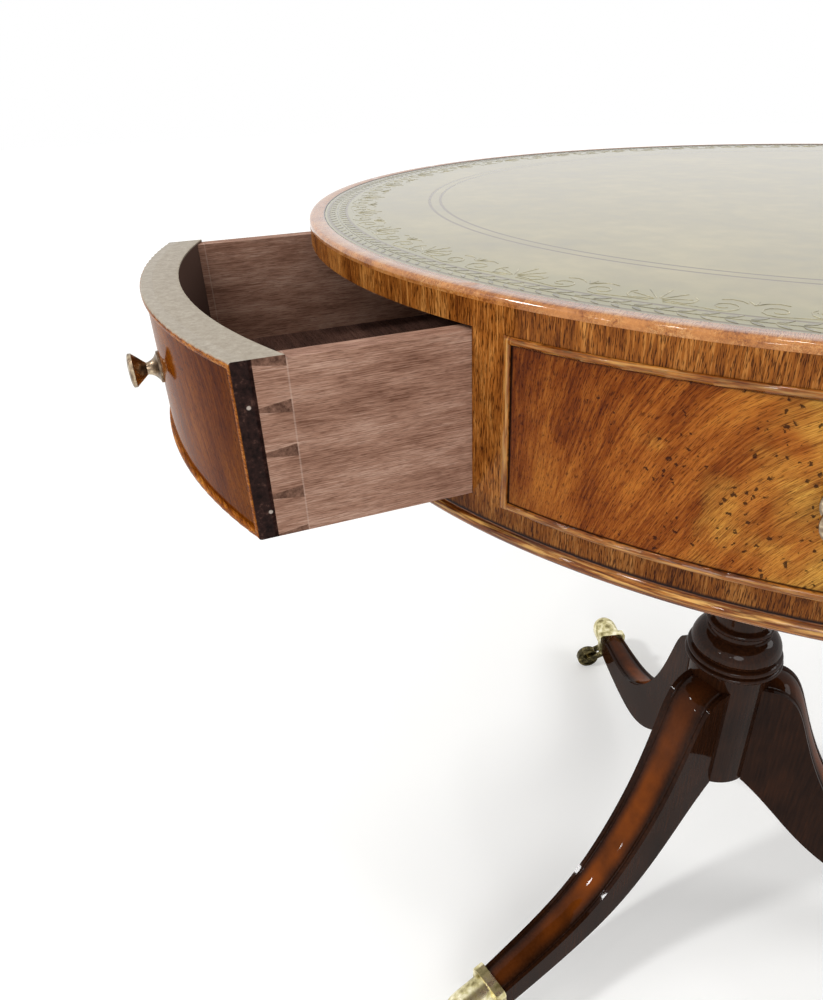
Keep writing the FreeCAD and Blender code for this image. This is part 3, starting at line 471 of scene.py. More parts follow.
def flamePattern(tree, spot, sideways, height, look):
    # crotch veneer: grain upright at the ends, fanning to a feather with gold lights in the middle
    flame = flameLook
    aside = addNode(tree, maths, {0: sideways}, operation="ABSOLUTE")
    rise = addNode(tree, maths, {0: height, 1: (dummyLow + dummyHigh) / 2}, operation="SUBTRACT")
    inward = addNode(tree, remap, {0: aside, 1: frontHalf, 2: 0.0})
    bend = addNode(tree, maths, {0: inward, 1: flame["bend"]}, operation="POWER")
    lean = addNode(tree, remap, {0: bend, (3, 4): flame["lean"]})
    across = addNode(tree, maths, {0: rise, 1: lean, 2: aside}, operation="MULTIPLY_ADD")
    swirl = addNode(tree, noise, {"Vector": spot, **flame["swirl"]})
    across = addNode(tree, maths, {0: swirl, 1: flame["swirlShift"], 2: across}, operation="MULTIPLY_ADD")
    patterns = []
    for size, run, detail in look["patterns"]:
        along = addNode(tree, maths, {0: rise, 1: 1 / run}, operation="MULTIPLY")
        flow = addNode(tree, join, {0: across, 2: along})
        patterns.append(addNode(tree, noise, {
            "Vector": flow, "Scale": 1 / size, "Detail": detail, "Roughness": grainLook["roughness"]}))
    figure, streaks, dashes = patterns
    dark, brown, middle, light, gold = look["tones"]
    tone = addNode(tree, mixer, {0: flame["streakShare"], 2: figure, 3: streaks})
    colour = addNode(tree, ramp, {0: tone}, zip(flame["levels"], (dark, brown, middle, light)))
    # gold lights where the feather curls, hatched by the streaks
    curl = addNode(tree, noise, {"Vector": spot, **flame["curl"]})
    curl = addNode(tree, maths, {0: inward, 1: flame["curlInward"], 2: curl}, operation="MULTIPLY_ADD")
    glow = addNode(tree, remap, {0: curl, (1, 2): flame["glow"]}, **soft)
    hatch = addNode(tree, remap, {
        0: streaks, (1, 2): flame["hatch"], 3: flame["hatchLeast"], 4: look["goldShare"]})
    glow = addNode(tree, maths, {0: glow, 1: hatch}, operation="MULTIPLY")
    colour = addNode(tree, mixer, {0: glow, 6: colour, 7: gold}, **tint)
    shade = addNode(tree, remap, {0: inward, (1, 2): flame["ends"], 4: flame["endShare"]})
    colour = addNode(tree, mixer, {0: shade, 6: colour, 7: brown}, **tint, blend_type="MULTIPLY")
    pores = addNode(tree, remap, {0: dashes, (1, 2): flame["pores"]}, **soft)
    stain = addNode(tree, maths, {0: pores, 1: flame["poreDepth"]}, operation="MULTIPLY")
    colour = addNode(tree, mixer, {0: stain, 6: colour, 7: dark}, **tint, blend_type="MULTIPLY")
    bumps = addNode(tree, relief, {("Strength", "Distance"): flame["bump"], "Height": pores}, invert=True)
    return colour, bumps, pores, inward


speckLook = {
    "knots": {"Scale": 1 / 3.9},
    "drift": {"Scale": 1 / 6.0, "Detail": 2.0}, "driftShift": (5.0, 5.0, 0.0),
    "crowd": {"Scale": 1 / 22.0, "Detail": 1.0}, "crowdShare": 1.6, "inwardShare": 0.7,
    "chance": (1.74, 2.4), "size": 0.34,
    "ragged": {"Scale": 1 / 0.8, "Detail": 2.0}, "raggedShare": 0.5,
    "edge": (0.22, 0.08), "share": 0.85, "tone": "#1e0b03",
}


def barkSpecks(tree, sideways, height, inward, spot, colour):
    # small dark knots, gathered about the feather
    look = speckLook
    flat = addNode(tree, join, {0: sideways, 1: height})
    drift = addNode(tree, noise, {"Vector": spot, **look["drift"]}).node.outputs["Color"]
    loose = addNode(tree, stretch, {0: drift, 1: look["driftShift"], 2: flat}, operation="MULTIPLY_ADD")
    knots = addNode(tree, cells, {"Vector": loose, **look["knots"]}, voronoi_dimensions="2D").node.outputs
    chance = addNode(tree, "ShaderNodeSeparateColor", {0: knots["Color"]})
    crowd = addNode(tree, noise, {"Vector": spot, **look["crowd"]})
    chance = addNode(tree, maths, {0: crowd, 1: look["crowdShare"], 2: chance}, operation="MULTIPLY_ADD")
    chance = addNode(tree, maths, {0: inward, 1: look["inwardShare"], 2: chance}, operation="MULTIPLY_ADD")
    size = addNode(tree, remap, {0: chance, (1, 2): look["chance"], 4: look["size"]})
    ragged = addNode(tree, noise, {"Vector": spot, **look["ragged"]})
    edge = addNode(tree, maths, {
        0: ragged, 1: look["raggedShare"], 2: knots["Distance"]}, operation="MULTIPLY_ADD")
    edge = addNode(tree, maths, {0: edge, 1: size}, operation="SUBTRACT")
    share = addNode(tree, remap, {0: edge, (1, 2): look["edge"], 4: look["share"]}, **soft)
    return addNode(tree, mixer, {0: share, 6: colour, 7: look["tone"]}, **tint)


dummyLook = {
    "tones": ("#431502", "#75390d", "#96551c", "#b8772e", "#dbab4c"), "goldShare": 0.65,
    "patterns": ((22.0, 3.0, 3.0), (1.1, 14.0, 4.0), (0.42, 7.0, 1.5)),
    "joint": 1.0, "jointShare": 0.95, "jointTone": "#150c0a",
}


def dummyFrontWood():
    # flame veneer, with a dark line where it meets the cock bead: a dark joint and painted shade in the
    # crease
    look = dummyLook
    material, tree, shader, spot = newMaterial("flame mahogany veneer, polished", polish)
    sideways, height = dummyAxes(tree, spot)
    colour, bumps, pores, inward = flamePattern(tree, spot, sideways, height, look)
    colour = barkSpecks(tree, sideways, height, inward, spot, colour)
    aside = addNode(tree, maths, {0: sideways}, operation="ABSOLUTE")
    # dark joint along the bead, partly painted shade in the crease
    for value, edge, way in (
        (aside, frontHalf - cockWidth, -1),
        (height, dummyLow + cockWidth, 1),
        (height, dummyHigh - cockWidth, -1),
    ):
        joint = addNode(tree, remap, {
            0: value, 1: edge + way * look["joint"], 2: edge, 4: look["jointShare"]}, **soft)
        colour = addNode(tree, mixer, {0: joint, 6: colour, 7: look["jointTone"]}, **tint)
    gloss = addNode(tree, remap, {0: pores, (3, 4): flameLook["gloss"]})
    wire(shader, {"Base Color": colour, "Roughness": gloss, "Normal": bumps})
    return material


frontLook = {
    "tones": ("#3f1502", "#5e2a05", "#713a08", "#884c10", "#9a6120"), "goldShare": 0.4,
    "patterns": ((24.0, 3.0, 3.0), (1.6, 14.0, 3.0), (0.42, 7.0, 1.5)),
    "lap": 7.0,           # solid wood in front of the dovetails, mm
    "pin": 14.2,          # length of the dovetails, mm
    "thickness": 19.5,    # of a drawer's front, mm
    "brads": ((3.0, 0.24), (5.0, 0.84)),    # pale brad heads in the end: mm from the face, share from the top
    "bradEdge": (1.1, 0.7), "bradTone": "#a89c92",
    "backEdge": (1.5, 0.2), "backTone": "#56433b",
    "topEdge": (1.1, 0.4), "topSheenTones": ((0.3, "#8b8173"), (0.55, "#9b9284"), (0.75, "#aba294")),
    "endEdge": (0.4, 0.1), "endTones": ((0.35, "#130b0a"), (0.58, "#2b1b18"), (0.78, "#5c4238")),
    "lapEdge": (-0.3, 0.3), "pinTones": ((0.35, "#4a342b"), (0.7, "#856454")),
    "grime": {"Scale": 1 / 3.0, "Detail": 5.0, "Roughness": 0.7},
    "gloss": (0.36, 0.75), "coat": (0.45, 0.0),     # on the polished face and on what has gone dull
}


def handledTonesAndTopSheen(tree, spot, drawn, colour):
    # what handling has darkened on a drawer: ends, pins and the back of the front; its top is painted pale
    # grey as a painted sheen
    look = frontLook
    outward, sideways, height = drawerAxes(tree, spot)
    outward = addNode(tree, maths, {0: outward, 1: drawn}, operation="SUBTRACT")
    aside = addNode(tree, maths, {0: sideways}, operation="ABSOLUTE")
    grime = addNode(tree, noise, {"Vector": spot, **look["grime"]})
    flat = addNode(tree, join, {0: outward, 1: sideways})
    reach = addNode(tree, stretch, {0: flat}, operation="LENGTH")
    behind = addNode(tree, maths, {0: reach, 1: drumRadius - look["thickness"]}, operation="SUBTRACT")
    back = addNode(tree, remap, {0: behind, (1, 2): look["backEdge"]})
    colour = addNode(tree, mixer, {0: back, 6: colour, 7: look["backTone"]}, **tint)
    # painted sheen: the top of the front painted pale grey
    drop = addNode(tree, maths, {0: frontHigh, 1: height}, operation="SUBTRACT")
    top = addNode(tree, remap, {0: drop, (1, 2): look["topEdge"]})
    topTone = addNode(tree, ramp, {0: grime}, look["topSheenTones"])
    colour = addNode(tree, mixer, {0: top, 6: colour, 7: topTone}, **tint)
    short = addNode(tree, maths, {0: frontHalf, 1: aside}, operation="SUBTRACT")
    ends = addNode(tree, remap, {0: short, (1, 2): look["endEdge"]})
    endTone = addNode(tree, ramp, {0: grime}, look["endTones"])
    pinTone = addNode(tree, ramp, {0: grime}, look["pinTones"])
    deep = addNode(tree, maths, {0: frontChord - look["lap"], 1: outward}, operation="SUBTRACT")
    pins = addNode(tree, remap, {0: deep, (1, 2): look["lapEdge"]})
    endTone = addNode(tree, mixer, {0: pins, 6: endTone, 7: pinTone}, **tint)
    for depth, share in look["brads"]:
        centre = (frontChord - depth, frontHigh - (frontHigh - frontLow) * share, 0.0)
        side = addNode(tree, join, {0: outward, 1: height})
        away = addNode(tree, stretch, {0: side, 1: centre}, operation="DISTANCE").node.outputs["Value"]
        brad = addNode(tree, remap, {0: away, (1, 2): look["bradEdge"]})
        endTone = addNode(tree, mixer, {0: brad, 6: endTone, 7: look["bradTone"]}, **tint)
    colour = addNode(tree, mixer, {0: ends, 6: colour, 7: endTone}, **tint)
    return colour, addNode(tree, maths, {0: ends, 1: back}, operation="MAXIMUM")


def drawerFrontWood(name, drawn):
    # flame veneer on a solid front, glazed on its face and bare at its ends
    material, tree, shader, spot = newMaterial(name, {
        "Specular IOR Level": 0.0, "Coat Roughness": 0.07, "Coat IOR": 1.1})
    sideways, height = drawerAxes(tree, spot)[1:]
    colour, bumps = flamePattern(tree, spot, sideways, height, frontLook)[:2]
    colour, dull = handledTonesAndTopSheen(tree, spot, drawn, colour)
    gloss = addNode(tree, remap, {0: dull, (3, 4): frontLook["gloss"]})
    coat = addNode(tree, remap, {0: dull, (3, 4): frontLook["coat"]})
    wire(shader, {"Base Color": colour, "Roughness": gloss, "Coat Weight": coat, "Normal": bumps})
    return material


def drawerBeadWood(name, drawn):
    # a drawer's cock bead, gold on its nose, as dark as the front at its ends, and pale grey at its top with
    # the front's painted sheen
    def aging(tree, spot, colour):
        return handledTonesAndTopSheen(tree, spot, drawn, colour)[0]

    look = dict(beadLook, tones=("#431a08", "#87480f", "#b97a30"))
    finish = dict(beadPolish, **{"Coat Weight": 0.45, "Coat IOR": 1.2})
    return mahogany(name, look, sidewaysGrain, finish, aging)


sideLook = dict(
    veneerLook, tones=("#623e2d", "#926d5a", "#b69582"), poreDepth=0.35, stripe=(11.0, 4.0, 4.0),
    streak=(0.5, 34.0, 4.0), pore=(0.45, 12.0, 1.5), streakShare=0.55,
    gauge=(0.5, 0.2), gaugeShare=0.22, gaugeTone="#c7b2a4")


def drawerSideWood(name, drawn):
    # bare board with the pale gauge line that the dovetails were cut to
    gauge = frontChord - frontLook["lap"] - frontLook["pin"] + drawn

    def aging(tree, spot, colour):
        away = addNode(tree, maths, {0: drawerAxes(tree, spot)[0], 1: gauge}, operation="SUBTRACT")
        away = addNode(tree, maths, {0: away}, operation="ABSOLUTE")
        line = addNode(tree, remap, {0: away, (1, 2): sideLook["gauge"], 4: sideLook["gaugeShare"]})
        return addNode(tree, mixer, {0: line, 6: colour, 7: sideLook["gaugeTone"]}, **tint)

    return mahogany(name, sideLook, outwardGrain, bare, aging)


# bare boards inside a drawer, darker than its sides: painted shade
shadedDrawerBoardWood = mahogany("bare mahogany panel, unpolished", dict(
    veneerLook, tones=("#2f1c16", "#553a30", "#745446"), poreDepth=0.4, streak=(1.6, 26.0, 3.0)),
    sidewaysGrain, bare)
# dark tones inside the drum
carcassWood = mahogany("carcass mahogany, aged", dict(
    veneerLook, tones=("#2e1a13", "#553527", "#745140"), poreDepth=0.5, streak=(2.0, 26.0, 3.0)),
    uprightGrain, bare)

frenchPolish = {"Specular IOR Level": 0.0, "Coat Weight": 0.2, "Coat Roughness": 0.05, "Coat IOR": 1.45}
darkLook = {
    "tones": ("#1c0d06", "#28150b", "#351c0e"), "cloudShare": 0.5, "columnCoat": 0.36,
    "streak": (2.4, 14.0, 3.0), "cloud": {"Scale": 1 / 60.0, "Detail": 2.0},
    "gloss": (0.4, 0.7, 0.3, 0.42), "bump": (0.15, 0.00008),
}


def darkPattern(tree, spot):
    # dense mahogany, stained dark under many coats of french polish
    size, run, detail = darkLook["streak"]
    flow = addNode(tree, stretch, {0: spot, 1: (1, 1, 1 / run)}, operation="MULTIPLY")
    streaks = addNode(tree, noise, {"Vector": flow, "Scale": 1 / size, "Detail": detail})
    clouds = addNode(tree, noise, {"Vector": spot, **darkLook["cloud"]})
    tone = addNode(tree, mixer, {0: darkLook["cloudShare"], 2: streaks, 3: clouds})
    colour = addNode(tree, ramp, {0: tone}, zip(grainLook["levels"], darkLook["tones"]))
    gloss = addNode(tree, remap, {0: clouds, (1, 2, 3, 4): darkLook["gloss"]})
    bumps = addNode(tree, relief, {("Strength", "Distance"): darkLook["bump"], "Height": streaks})
    return {"Base Color": colour, "Roughness": gloss, "Normal": bumps}


def columnWood():
    # turned, and polished a little brighter than the legs
    material, tree, shader, spot = newMaterial("turned mahogany, french polished", dict(
        frenchPolish, **{"Coat Weight": darkLook["columnCoat"]}))
    wire(shader, darkPattern(tree, spot))
    return material


legLook = {
    "bearings": (284.25, 44.25, 164.25),            # of legs 1 to 3, degrees
    "halfWidth": (25.5, 16.0), "reach": 325.0,      # at the column and at the toe, which is so far out
    "band": (0.72, 0.2),                            # shares of that half width
    "upward": (0.05, 0.35),                         # how far up a face looks to take the rubbed band and its painted sheen
    "start": (60.0, 125.0), "startShares": (0.1, 0.8), "end": (270.0, 190.0), "endLeast": 0.3,
    "mottle": {"Scale": 1 / 30.0, "Detail": 3.0}, "rub": (0.3, 0.6), "rubLeast": 0.45, "tone": "#83400c",
}


def legWood(number, bearing):
    # as the column, rubbed through to orange-brown along the raised band of the leg's top, only where it
    # faces up: wear and a painted sheen
    look = legLook
    material, tree, shader, spot = newMaterial("sabre leg mahogany %d" % number, frenchPolish)
    links = darkPattern(tree, spot)
    turned = addNode(tree, "ShaderNodeVectorRotate", {
        "Vector": spot, "Axis": (0, 0, 1), "Angle": -math.radians(bearing)})
    xyz = addNode(tree, split, {0: turned}).node.outputs
    across = addNode(tree, maths, {0: xyz[1]}, operation="ABSOLUTE")
    half = addNode(tree, remap, {0: xyz[0], 2: look["reach"], (3, 4): look["halfWidth"]})
    place = addNode(tree, maths, {0: across, 1: half}, operation="DIVIDE")
    band = addNode(tree, remap, {0: place, (1, 2): look["band"]}, **soft)
    # painted sheen: the band shows on faces that look up
    facing = addNode(tree, "ShaderNodeNewGeometry").node.outputs["True Normal"]
    upward = addNode(tree, split, {0: facing}).node.outputs[2]
    upward = addNode(tree, remap, {0: upward, (1, 2): look["upward"]}, **soft)
    start = addNode(tree, remap, {0: xyz[0], (1, 2): look["start"], (3, 4): look["startShares"]})
    end = addNode(tree, remap, {0: xyz[0], (1, 2): look["end"], 3: look["endLeast"]})
    rub = addNode(tree, noise, {"Vector": spot, **look["mottle"]})
    rub = addNode(tree, remap, {0: rub, (1, 2): look["rub"], 3: look["rubLeast"]})
    for factor in (upward, start, end, rub):
        band = addNode(tree, maths, {0: band, 1: factor}, operation="MULTIPLY")
    colour = addNode(tree, mixer, {0: band, 6: links["Base Color"], 7: look["tone"]}, **tint)
    wire(shader, dict(links, **{"Base Color": colour}))
    return material


brassLook = {
    "levels": (0.32, 0.5, 0.66), "cloud": {"Detail": 3.0, "Roughness": 0.55},
    "pits": {"Scale": 1 / 0.9, "Detail": 2.0}, "gloss": (0.35, 0.7, 0.42, 0.2), "bump": (0.15, 0.0002),
}


def oldBrass(name, tones, mottle):
    # cast brass with its lacquer gone: bright where rubbed, olive brown where tarnished
    look = brassLook
    material, tree, shader, spot = newMaterial(name, {"Metallic": 1.0})
    clouds = addNode(tree, noise, {"Vector": spot, "Scale": 1 / mottle, **look["cloud"]})
    pits = addNode(tree, noise, {"Vector": spot, **look["pits"]})
    wire(shader, {
        "Base Color": addNode(tree, ramp, {0: clouds}, zip(look["levels"], tones)),
        "Roughness": addNode(tree, remap, {0: clouds, (1, 2, 3, 4): look["gloss"]}),
        "Normal": addNode(tree, relief, {("Strength", "Distance"): look["bump"], "Height": pits})})
    return material


steelLook = {
    "drawnOut": (0.1, 0.1, 1), "marks": {"Scale": 1 / 0.7, "Detail": 2.0},
    "tones": ((0.3, "#4d4c4a"), (0.7, "#8b8a87")), "gloss": (0.3, 0.7, 0.32, 0.5),
}


def turnedSteel():
    # mild steel bar with fine turning marks, greased
    look = steelLook
    material, tree, shader, spot = newMaterial("turned steel, greased", {"Metallic": 1.0})
    flow = addNode(tree, stretch, {0: spot, 1: look["drawnOut"]}, operation="MULTIPLY")
    marks = addNode(tree, noise, {"Vector": flow, **look["marks"]})
    wire(shader, {
        "Base Color": addNode(tree, ramp, {0: marks}, look["tones"]),
        "Roughness": addNode(tree, remap, {0: marks, (1, 2, 3, 4): look["gloss"]})})
    return material


leatherLook = {
    "tones": ("#746b49", "#857b56", "#968b65"),
    "cloud": {"Scale": 1 / 85.0, "Detail": 5.0, "Roughness": 0.6},
    "stain": {"Scale": 1 / 14.0, "Detail": 4.0}, "stainShare": 0.35,
    "rim": (328.0, 366.0), "rimShare": 0.5, "rimTone": "#76744d",    # radii, mm
    "fillets": (376.8, 364.6, 304.5, 296.5),    # radii of the pressed circles, mm
    "filletEdge": (1.4, 0.56), "inkShare": 0.85, "inkTone": "#4c3a1c",
    "gloss": (0.3, 0.7, 0.42, 0.56),
    "pebble": {"Scale": 1 / 0.9}, "pebbleShare": 0.35,    # grain of the hide, drawn coarse enough to show
    "bump": (0.4, 0.0002),
}


def deskLeather():
    # sheepskin, dyed green and faded to sage, waxed to a shine, with pressed circles
    look = leatherLook
    material, tree, shader, spot = newMaterial("green desk leather, faded", {
        "Specular IOR Level": 0.3, "Coat Weight": 0.85, "Coat Roughness": 0.14})
    reach = polar(tree, spot)[1]
    clouds = addNode(tree, noise, {"Vector": spot, **look["cloud"]})
    stains = addNode(tree, noise, {"Vector": spot, **look["stain"]})
    tone = addNode(tree, mixer, {0: look["stainShare"], 2: clouds, 3: stains})
    colour = addNode(tree, ramp, {0: tone}, zip(grainLook["levels"], look["tones"]))
    # greener under the border, where the sun has bleached it less
    rim = addNode(tree, remap, {0: reach, (1, 2): look["rim"], 4: look["rimShare"]}, **soft)
    colour = addNode(tree, mixer, {0: rim, 6: colour, 7: look["rimTone"]}, **tint)
    lines = 0.0
    for radius in look["fillets"]:
        away = addNode(tree, maths, {0: reach, 1: radius}, operation="SUBTRACT")
        away = addNode(tree, maths, {0: away}, operation="ABSOLUTE")
        line = addNode(tree, remap, {0: away, (1, 2): look["filletEdge"]})
        lines = addNode(tree, maths, {0: line, 1: lines}, operation="MAXIMUM")
    inked = addNode(tree, maths, {0: lines, 1: look["inkShare"]}, operation="MULTIPLY")
    colour = addNode(tree, mixer, {0: inked, 6: colour, 7: look["inkTone"]}, **tint)
    gloss = addNode(tree, remap, {0: tone, (1, 2, 3, 4): look["gloss"]})
    pebble = addNode(tree, cells, {"Vector": spot, **look["pebble"]}, feature="SMOOTH_F1")
    depth = addNode(tree, maths, {0: pebble, 1: look["pebbleShare"]}, operation="MULTIPLY")
    depth = addNode(tree, maths, {0: depth, 1: lines}, operation="SUBTRACT")
    bumps = addNode(tree, relief, {("Strength", "Distance"): look["bump"], "Height": depth})
    wire(shader, {"Base Color": colour, "Roughness": gloss, "Normal": bumps})
    return material


foilLook = {
    "wear": {"Scale": 1 / 7.0, "Detail": 4.0, "Roughness": 0.7},
    "levels": (0.34, 0.52, 0.7), "gloss": (0.3, 0.7, 0.6, 0.4),
}


def toolingFoil(name, tones):
    # foil pressed in with a hot roll and worn thin, under the leather's wax
    material, tree, shader, spot = newMaterial(name, {
        "Metallic": 0.15, "Coat Weight": 0.9, "Coat Roughness": 0.16})
    wear = addNode(tree, noise, {"Vector": spot, **foilLook["wear"]})
    wire(shader, {
        "Base Color": addNode(tree, ramp, {0: wear}, zip(foilLook["levels"], tones)),
        "Roughness": addNode(tree, remap, {0: wear, (1, 2, 3, 4): foilLook["gloss"]})})
    return material


hideLook = {
    "mottle": {"Scale": 1 / 3.0, "Detail": 4.0},
    "tones": ((0.3, "#22140c"), (0.7, "#49301d")), "bump": (0.4, 0.0003),
}


def washerHide():
    # thick greased leather between drum and block
    look = hideLook
    material, tree, shader, spot = newMaterial("greased washer leather", {"Roughness": 0.55, "IOR": 1.48})
    mottled = addNode(tree, noise, {"Vector": spot, **look["mottle"]})
    wire(shader, {
        "Base Color": addNode(tree, ramp, {0: mottled}, look["tones"]),
        "Normal": addNode(tree, relief, {("Strength", "Distance"): look["bump"], "Height": mottled})})
    return material


capBrass = oldBrass("cast brass, tarnished", ("#857a50", "#d3c896", "#fff8d8"), mottle=11.0)
# castor brass darker than the caps
castorBrass = oldBrass("cast brass, brown with age", ("#241f14", "#4a432c", "#8a7d56"), mottle=9.0)
knobBrass = oldBrass("turned brass, handled", ("#4a3e34", "#8a7864", "#c6b498"), mottle=6.0)
turnedWood = columnWood()
steel = turnedSteel()
print("materials ready")


def dress(name, material):
    mesh = nodes[name].data
    mesh.materials.clear()
    mesh.materials.append(material)


# One set of boards for each drawer, which knows how far it is drawn out
for number in range(1, 5):
    name = "drawer_%d_" % number
    low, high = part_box(name + "front")
    drawn = max(abs(v) for corner in (low, high) for v in corner[:2]) * perMetre - drumRadius
    sideWood = drawerSideWood("bare mahogany side %d, unpolished" % number, drawn)
    dress(name + "front", drawerFrontWood("drawer front mahogany %d" % number, drawn))
    dress(name + "cock_bead", drawerBeadWood("drawer bead mahogany %d" % number, drawn))
    dress(name + "side_left", sideWood)
    dress(name + "side_right", sideWood)
    dress(name + "back", shadedDrawerBoardWood)
    dress(name + "bottom", shadedDrawerBoardWood)
    dress(name + "knob", knobBrass)
for number, bearing in enumerate(legLook["bearings"], start=1):
    dress("leg_%d" % number, legWood(number, bearing))
    dress("toe_cap_%d" % number, capBrass)
    for name in ("castor_horn_%d", "castor_axle_%d", "castor_wheel_%d"):
        dress(name % number, castorBrass)
for name, material in (
    ("column", turnedWood), ("bearing_block", turnedWood), ("thrust_washer", washerHide()),
    ("spindle", steel), ("pivot_nut", steel), ("pivot_bush", capBrass), ("top_board", friezeWood),
    ("bottom_board", friezeWood), ("frieze_stiles", friezeWood), ("leather_top", deskLeather()),
    ("drawer_partitions", carcassWood), ("core_box", carcassWood), ("dummy_fronts", dummyFrontWood()),
    ("dummy_cock_beads", cockBeadWood), ("dummy_knobs", knobBrass), ("top_margin", marginWood),
    ("base_bead", footBeadWood),
):
    dress(name, material)
print("nodes dressed")

# Rims of the drum, turned finer than the frame's meshes: rounded margin and half-round foot bead
rimLook = {
    "segments": 320, "sharp": 35,    # degrees, past which an edge isn't smoothed
    "arris": 2.6, "arrisSteps": 8, "depth": 4.0, "fit": 0.2, "ease": (0.5, 0.35),
    "beadHalf": 4.0, "beadProud": 1.4, "beadFlat": 0.9, "beadEnd": 63, "beadSteps": 12,
    "quirk": 0.8, "seat": 6.5,
}


def arcPoints(middle, radius, first, last, count):
    # points of an arc in an outline, angles in degrees
    points = []
    for step in range(count + 1):
        angle = math.radians(first + (last - first) * step / count)
        points.append((middle[0] + radius * math.cos(angle), middle[1] + radius * math.sin(angle)))
    return points


def marginOutline():
    arris, (easeOut, easeDown) = rimLook["arris"], rimLook["ease"]
    floor, inner = topHeight - rimLook["depth"], leatherRadius + rimLook["fit"]
    outline = [(inner, floor), (drumRadius, floor)]
    outline += arcPoints((drumRadius - arris, topHeight - arris), arris, 0, 90, rimLook["arrisSteps"])
    return outline + [(inner + easeOut, topHeight), (inner, topHeight - easeDown)]


def beadOutline():
    half, seat = rimLook["beadHalf"], drumRadius - rimLook["seat"]
    top = drumFloor + 2 * half + rimLook["beadFlat"]
    middle = (drumRadius + rimLook["beadProud"] - half, drumFloor + half)
    outline = [(seat, drumFloor)] + arcPoints(middle, half, -90, rimLook["beadEnd"], rimLook["beadSteps"])
    return outline + [(drumRadius - rimLook["quirk"], top), (seat, top)]


def turnRim(name, outline, material, node):
    # a ring turned about Z from a closed outline of (radius, height) in millimetres
    work = bmesh.new()
    rings = []
    for step in range(rimLook["segments"]):
        angle = 2 * math.pi * step / rimLook["segments"]
        rings.append([work.verts.new(Vector((r * math.cos(angle), r * math.sin(angle), z)) / perMetre)
                      for r, z in outline])
    for ring, after in zip(rings, rings[1:] + rings[:1]):
        for place in range(len(outline)):
            work.faces.new((ring[place - 1], after[place - 1], after[place], ring[place])).smooth = True
    bmesh.ops.recalc_face_normals(work, faces=work.faces)
    mesh = bpy.data.meshes.new(name)
    work.to_mesh(mesh)
    work.free()
    mesh.set_sharp_from_angle(angle=math.radians(rimLook["sharp"]))
    mesh.materials.append(material)
    piece = bpy.data.objects.new(name, mesh)
    bpy.context.collection.objects.link(piece)
    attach(piece, "drum")
    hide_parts(node)


turnRim("topMargin", marginOutline(), marginWood, "top_margin")
turnRim("footBead", beadOutline(), footBeadWood, "base_bead")
print("margin and bead turned")

# Tooled border of the leather. In a motif X points to the rim and Y along it, in millimetres.
toolingLook = {
    "lift": 0.02,          # foot of the lines below the leather's face
    "depth": 0.16,
    "lineWidth": 0.6, "taper": 0.4, "tips": (0.08, 0.92),
    "palmettes": 31, "palmetteRadius": 361.5,
    "leaves": 259, "leafRadius": 370.6,
}
palmetteLook = {
    "leans": (-80, -54, -27, 0, 27, 54, 80), "widest": 80, "rayStart": -4.0, "rayBend": 0.18,
    "rayShares": (0.15, 0.3625, 0.575, 0.7875, 1.0), "rayLength": 17.5, "rayLoss": 5.0,
    "stemShares": (0.0, 0.25, 0.5, 0.75), "stemStart": (-2.0, 3.0), "stemRun": (1.5, 23.0),
    "scrollMiddle": (-7.5, 26.0), "scrollRadius": 7.0, "scrollLoss": 0.72, "scrollSteps": 12,
    "scrollTurn": (-90, 410),
    "sprays": (
        ((-2.5, 11.0), (-6.5, 14.0), (-11.0, 14.5), (-14.0, 12.5)),
        ((-17.0, 22.0), (-19.0, 26.0), (-18.0, 30.0), (-15.5, 33.0)),
    ),
    "crestLeans": (-35, 0, 35), "crestFoot": (-14.0, 36.0), "crestRays": (0.0, 3.0, 6.5),
}
laurelLook = {
    "stemHalf": (0.3, 4.6), "leafTurn": 38, "leafOut": 3.3,
    "leaf": ((-3.6, 0.0), (-1.2, 1.2), (1.4, 1.0), (3.8, 0.0), (1.4, -1.0), (-1.2, -1.2)),
}


def prism(work, corners):
    # a thin closed plate with that outline
    floor, roof = ([work.verts.new(Vector((x, y, z)) / perMetre) for x, y in corners]
                   for z in (0.0, toolingLook["depth"]))
    work.faces.new(floor)
    work.faces.new(roof)
    for place in range(len(corners)):
        work.faces.new((floor[place - 1], floor[place], roof[place], roof[place - 1]))


def stroke(work, points):
    # a line along those points that tapers to both ends
    taper, (first, last) = toolingLook["taper"], toolingLook["tips"]
    left, right = [], []
    for number, point in enumerate(points):
        before, after = points[max(number - 1, 0)], points[min(number + 1, len(points) - 1)]
        run = Vector((after[0] - before[0], after[1] - before[1])).normalized()
        share = min(max(number / (len(points) - 1), first), last)
        half = toolingLook["lineWidth"] / 2 * (taper + (1 - taper) * math.sin(math.pi * share))
        left.append((point[0] - run.y * half, point[1] + run.x * half))
        right.append((point[0] + run.y * half, point[1] - run.x * half))
    for place in range(len(points) - 1):
        prism(work, [left[place], left[place + 1], right[place + 1], right[place]])


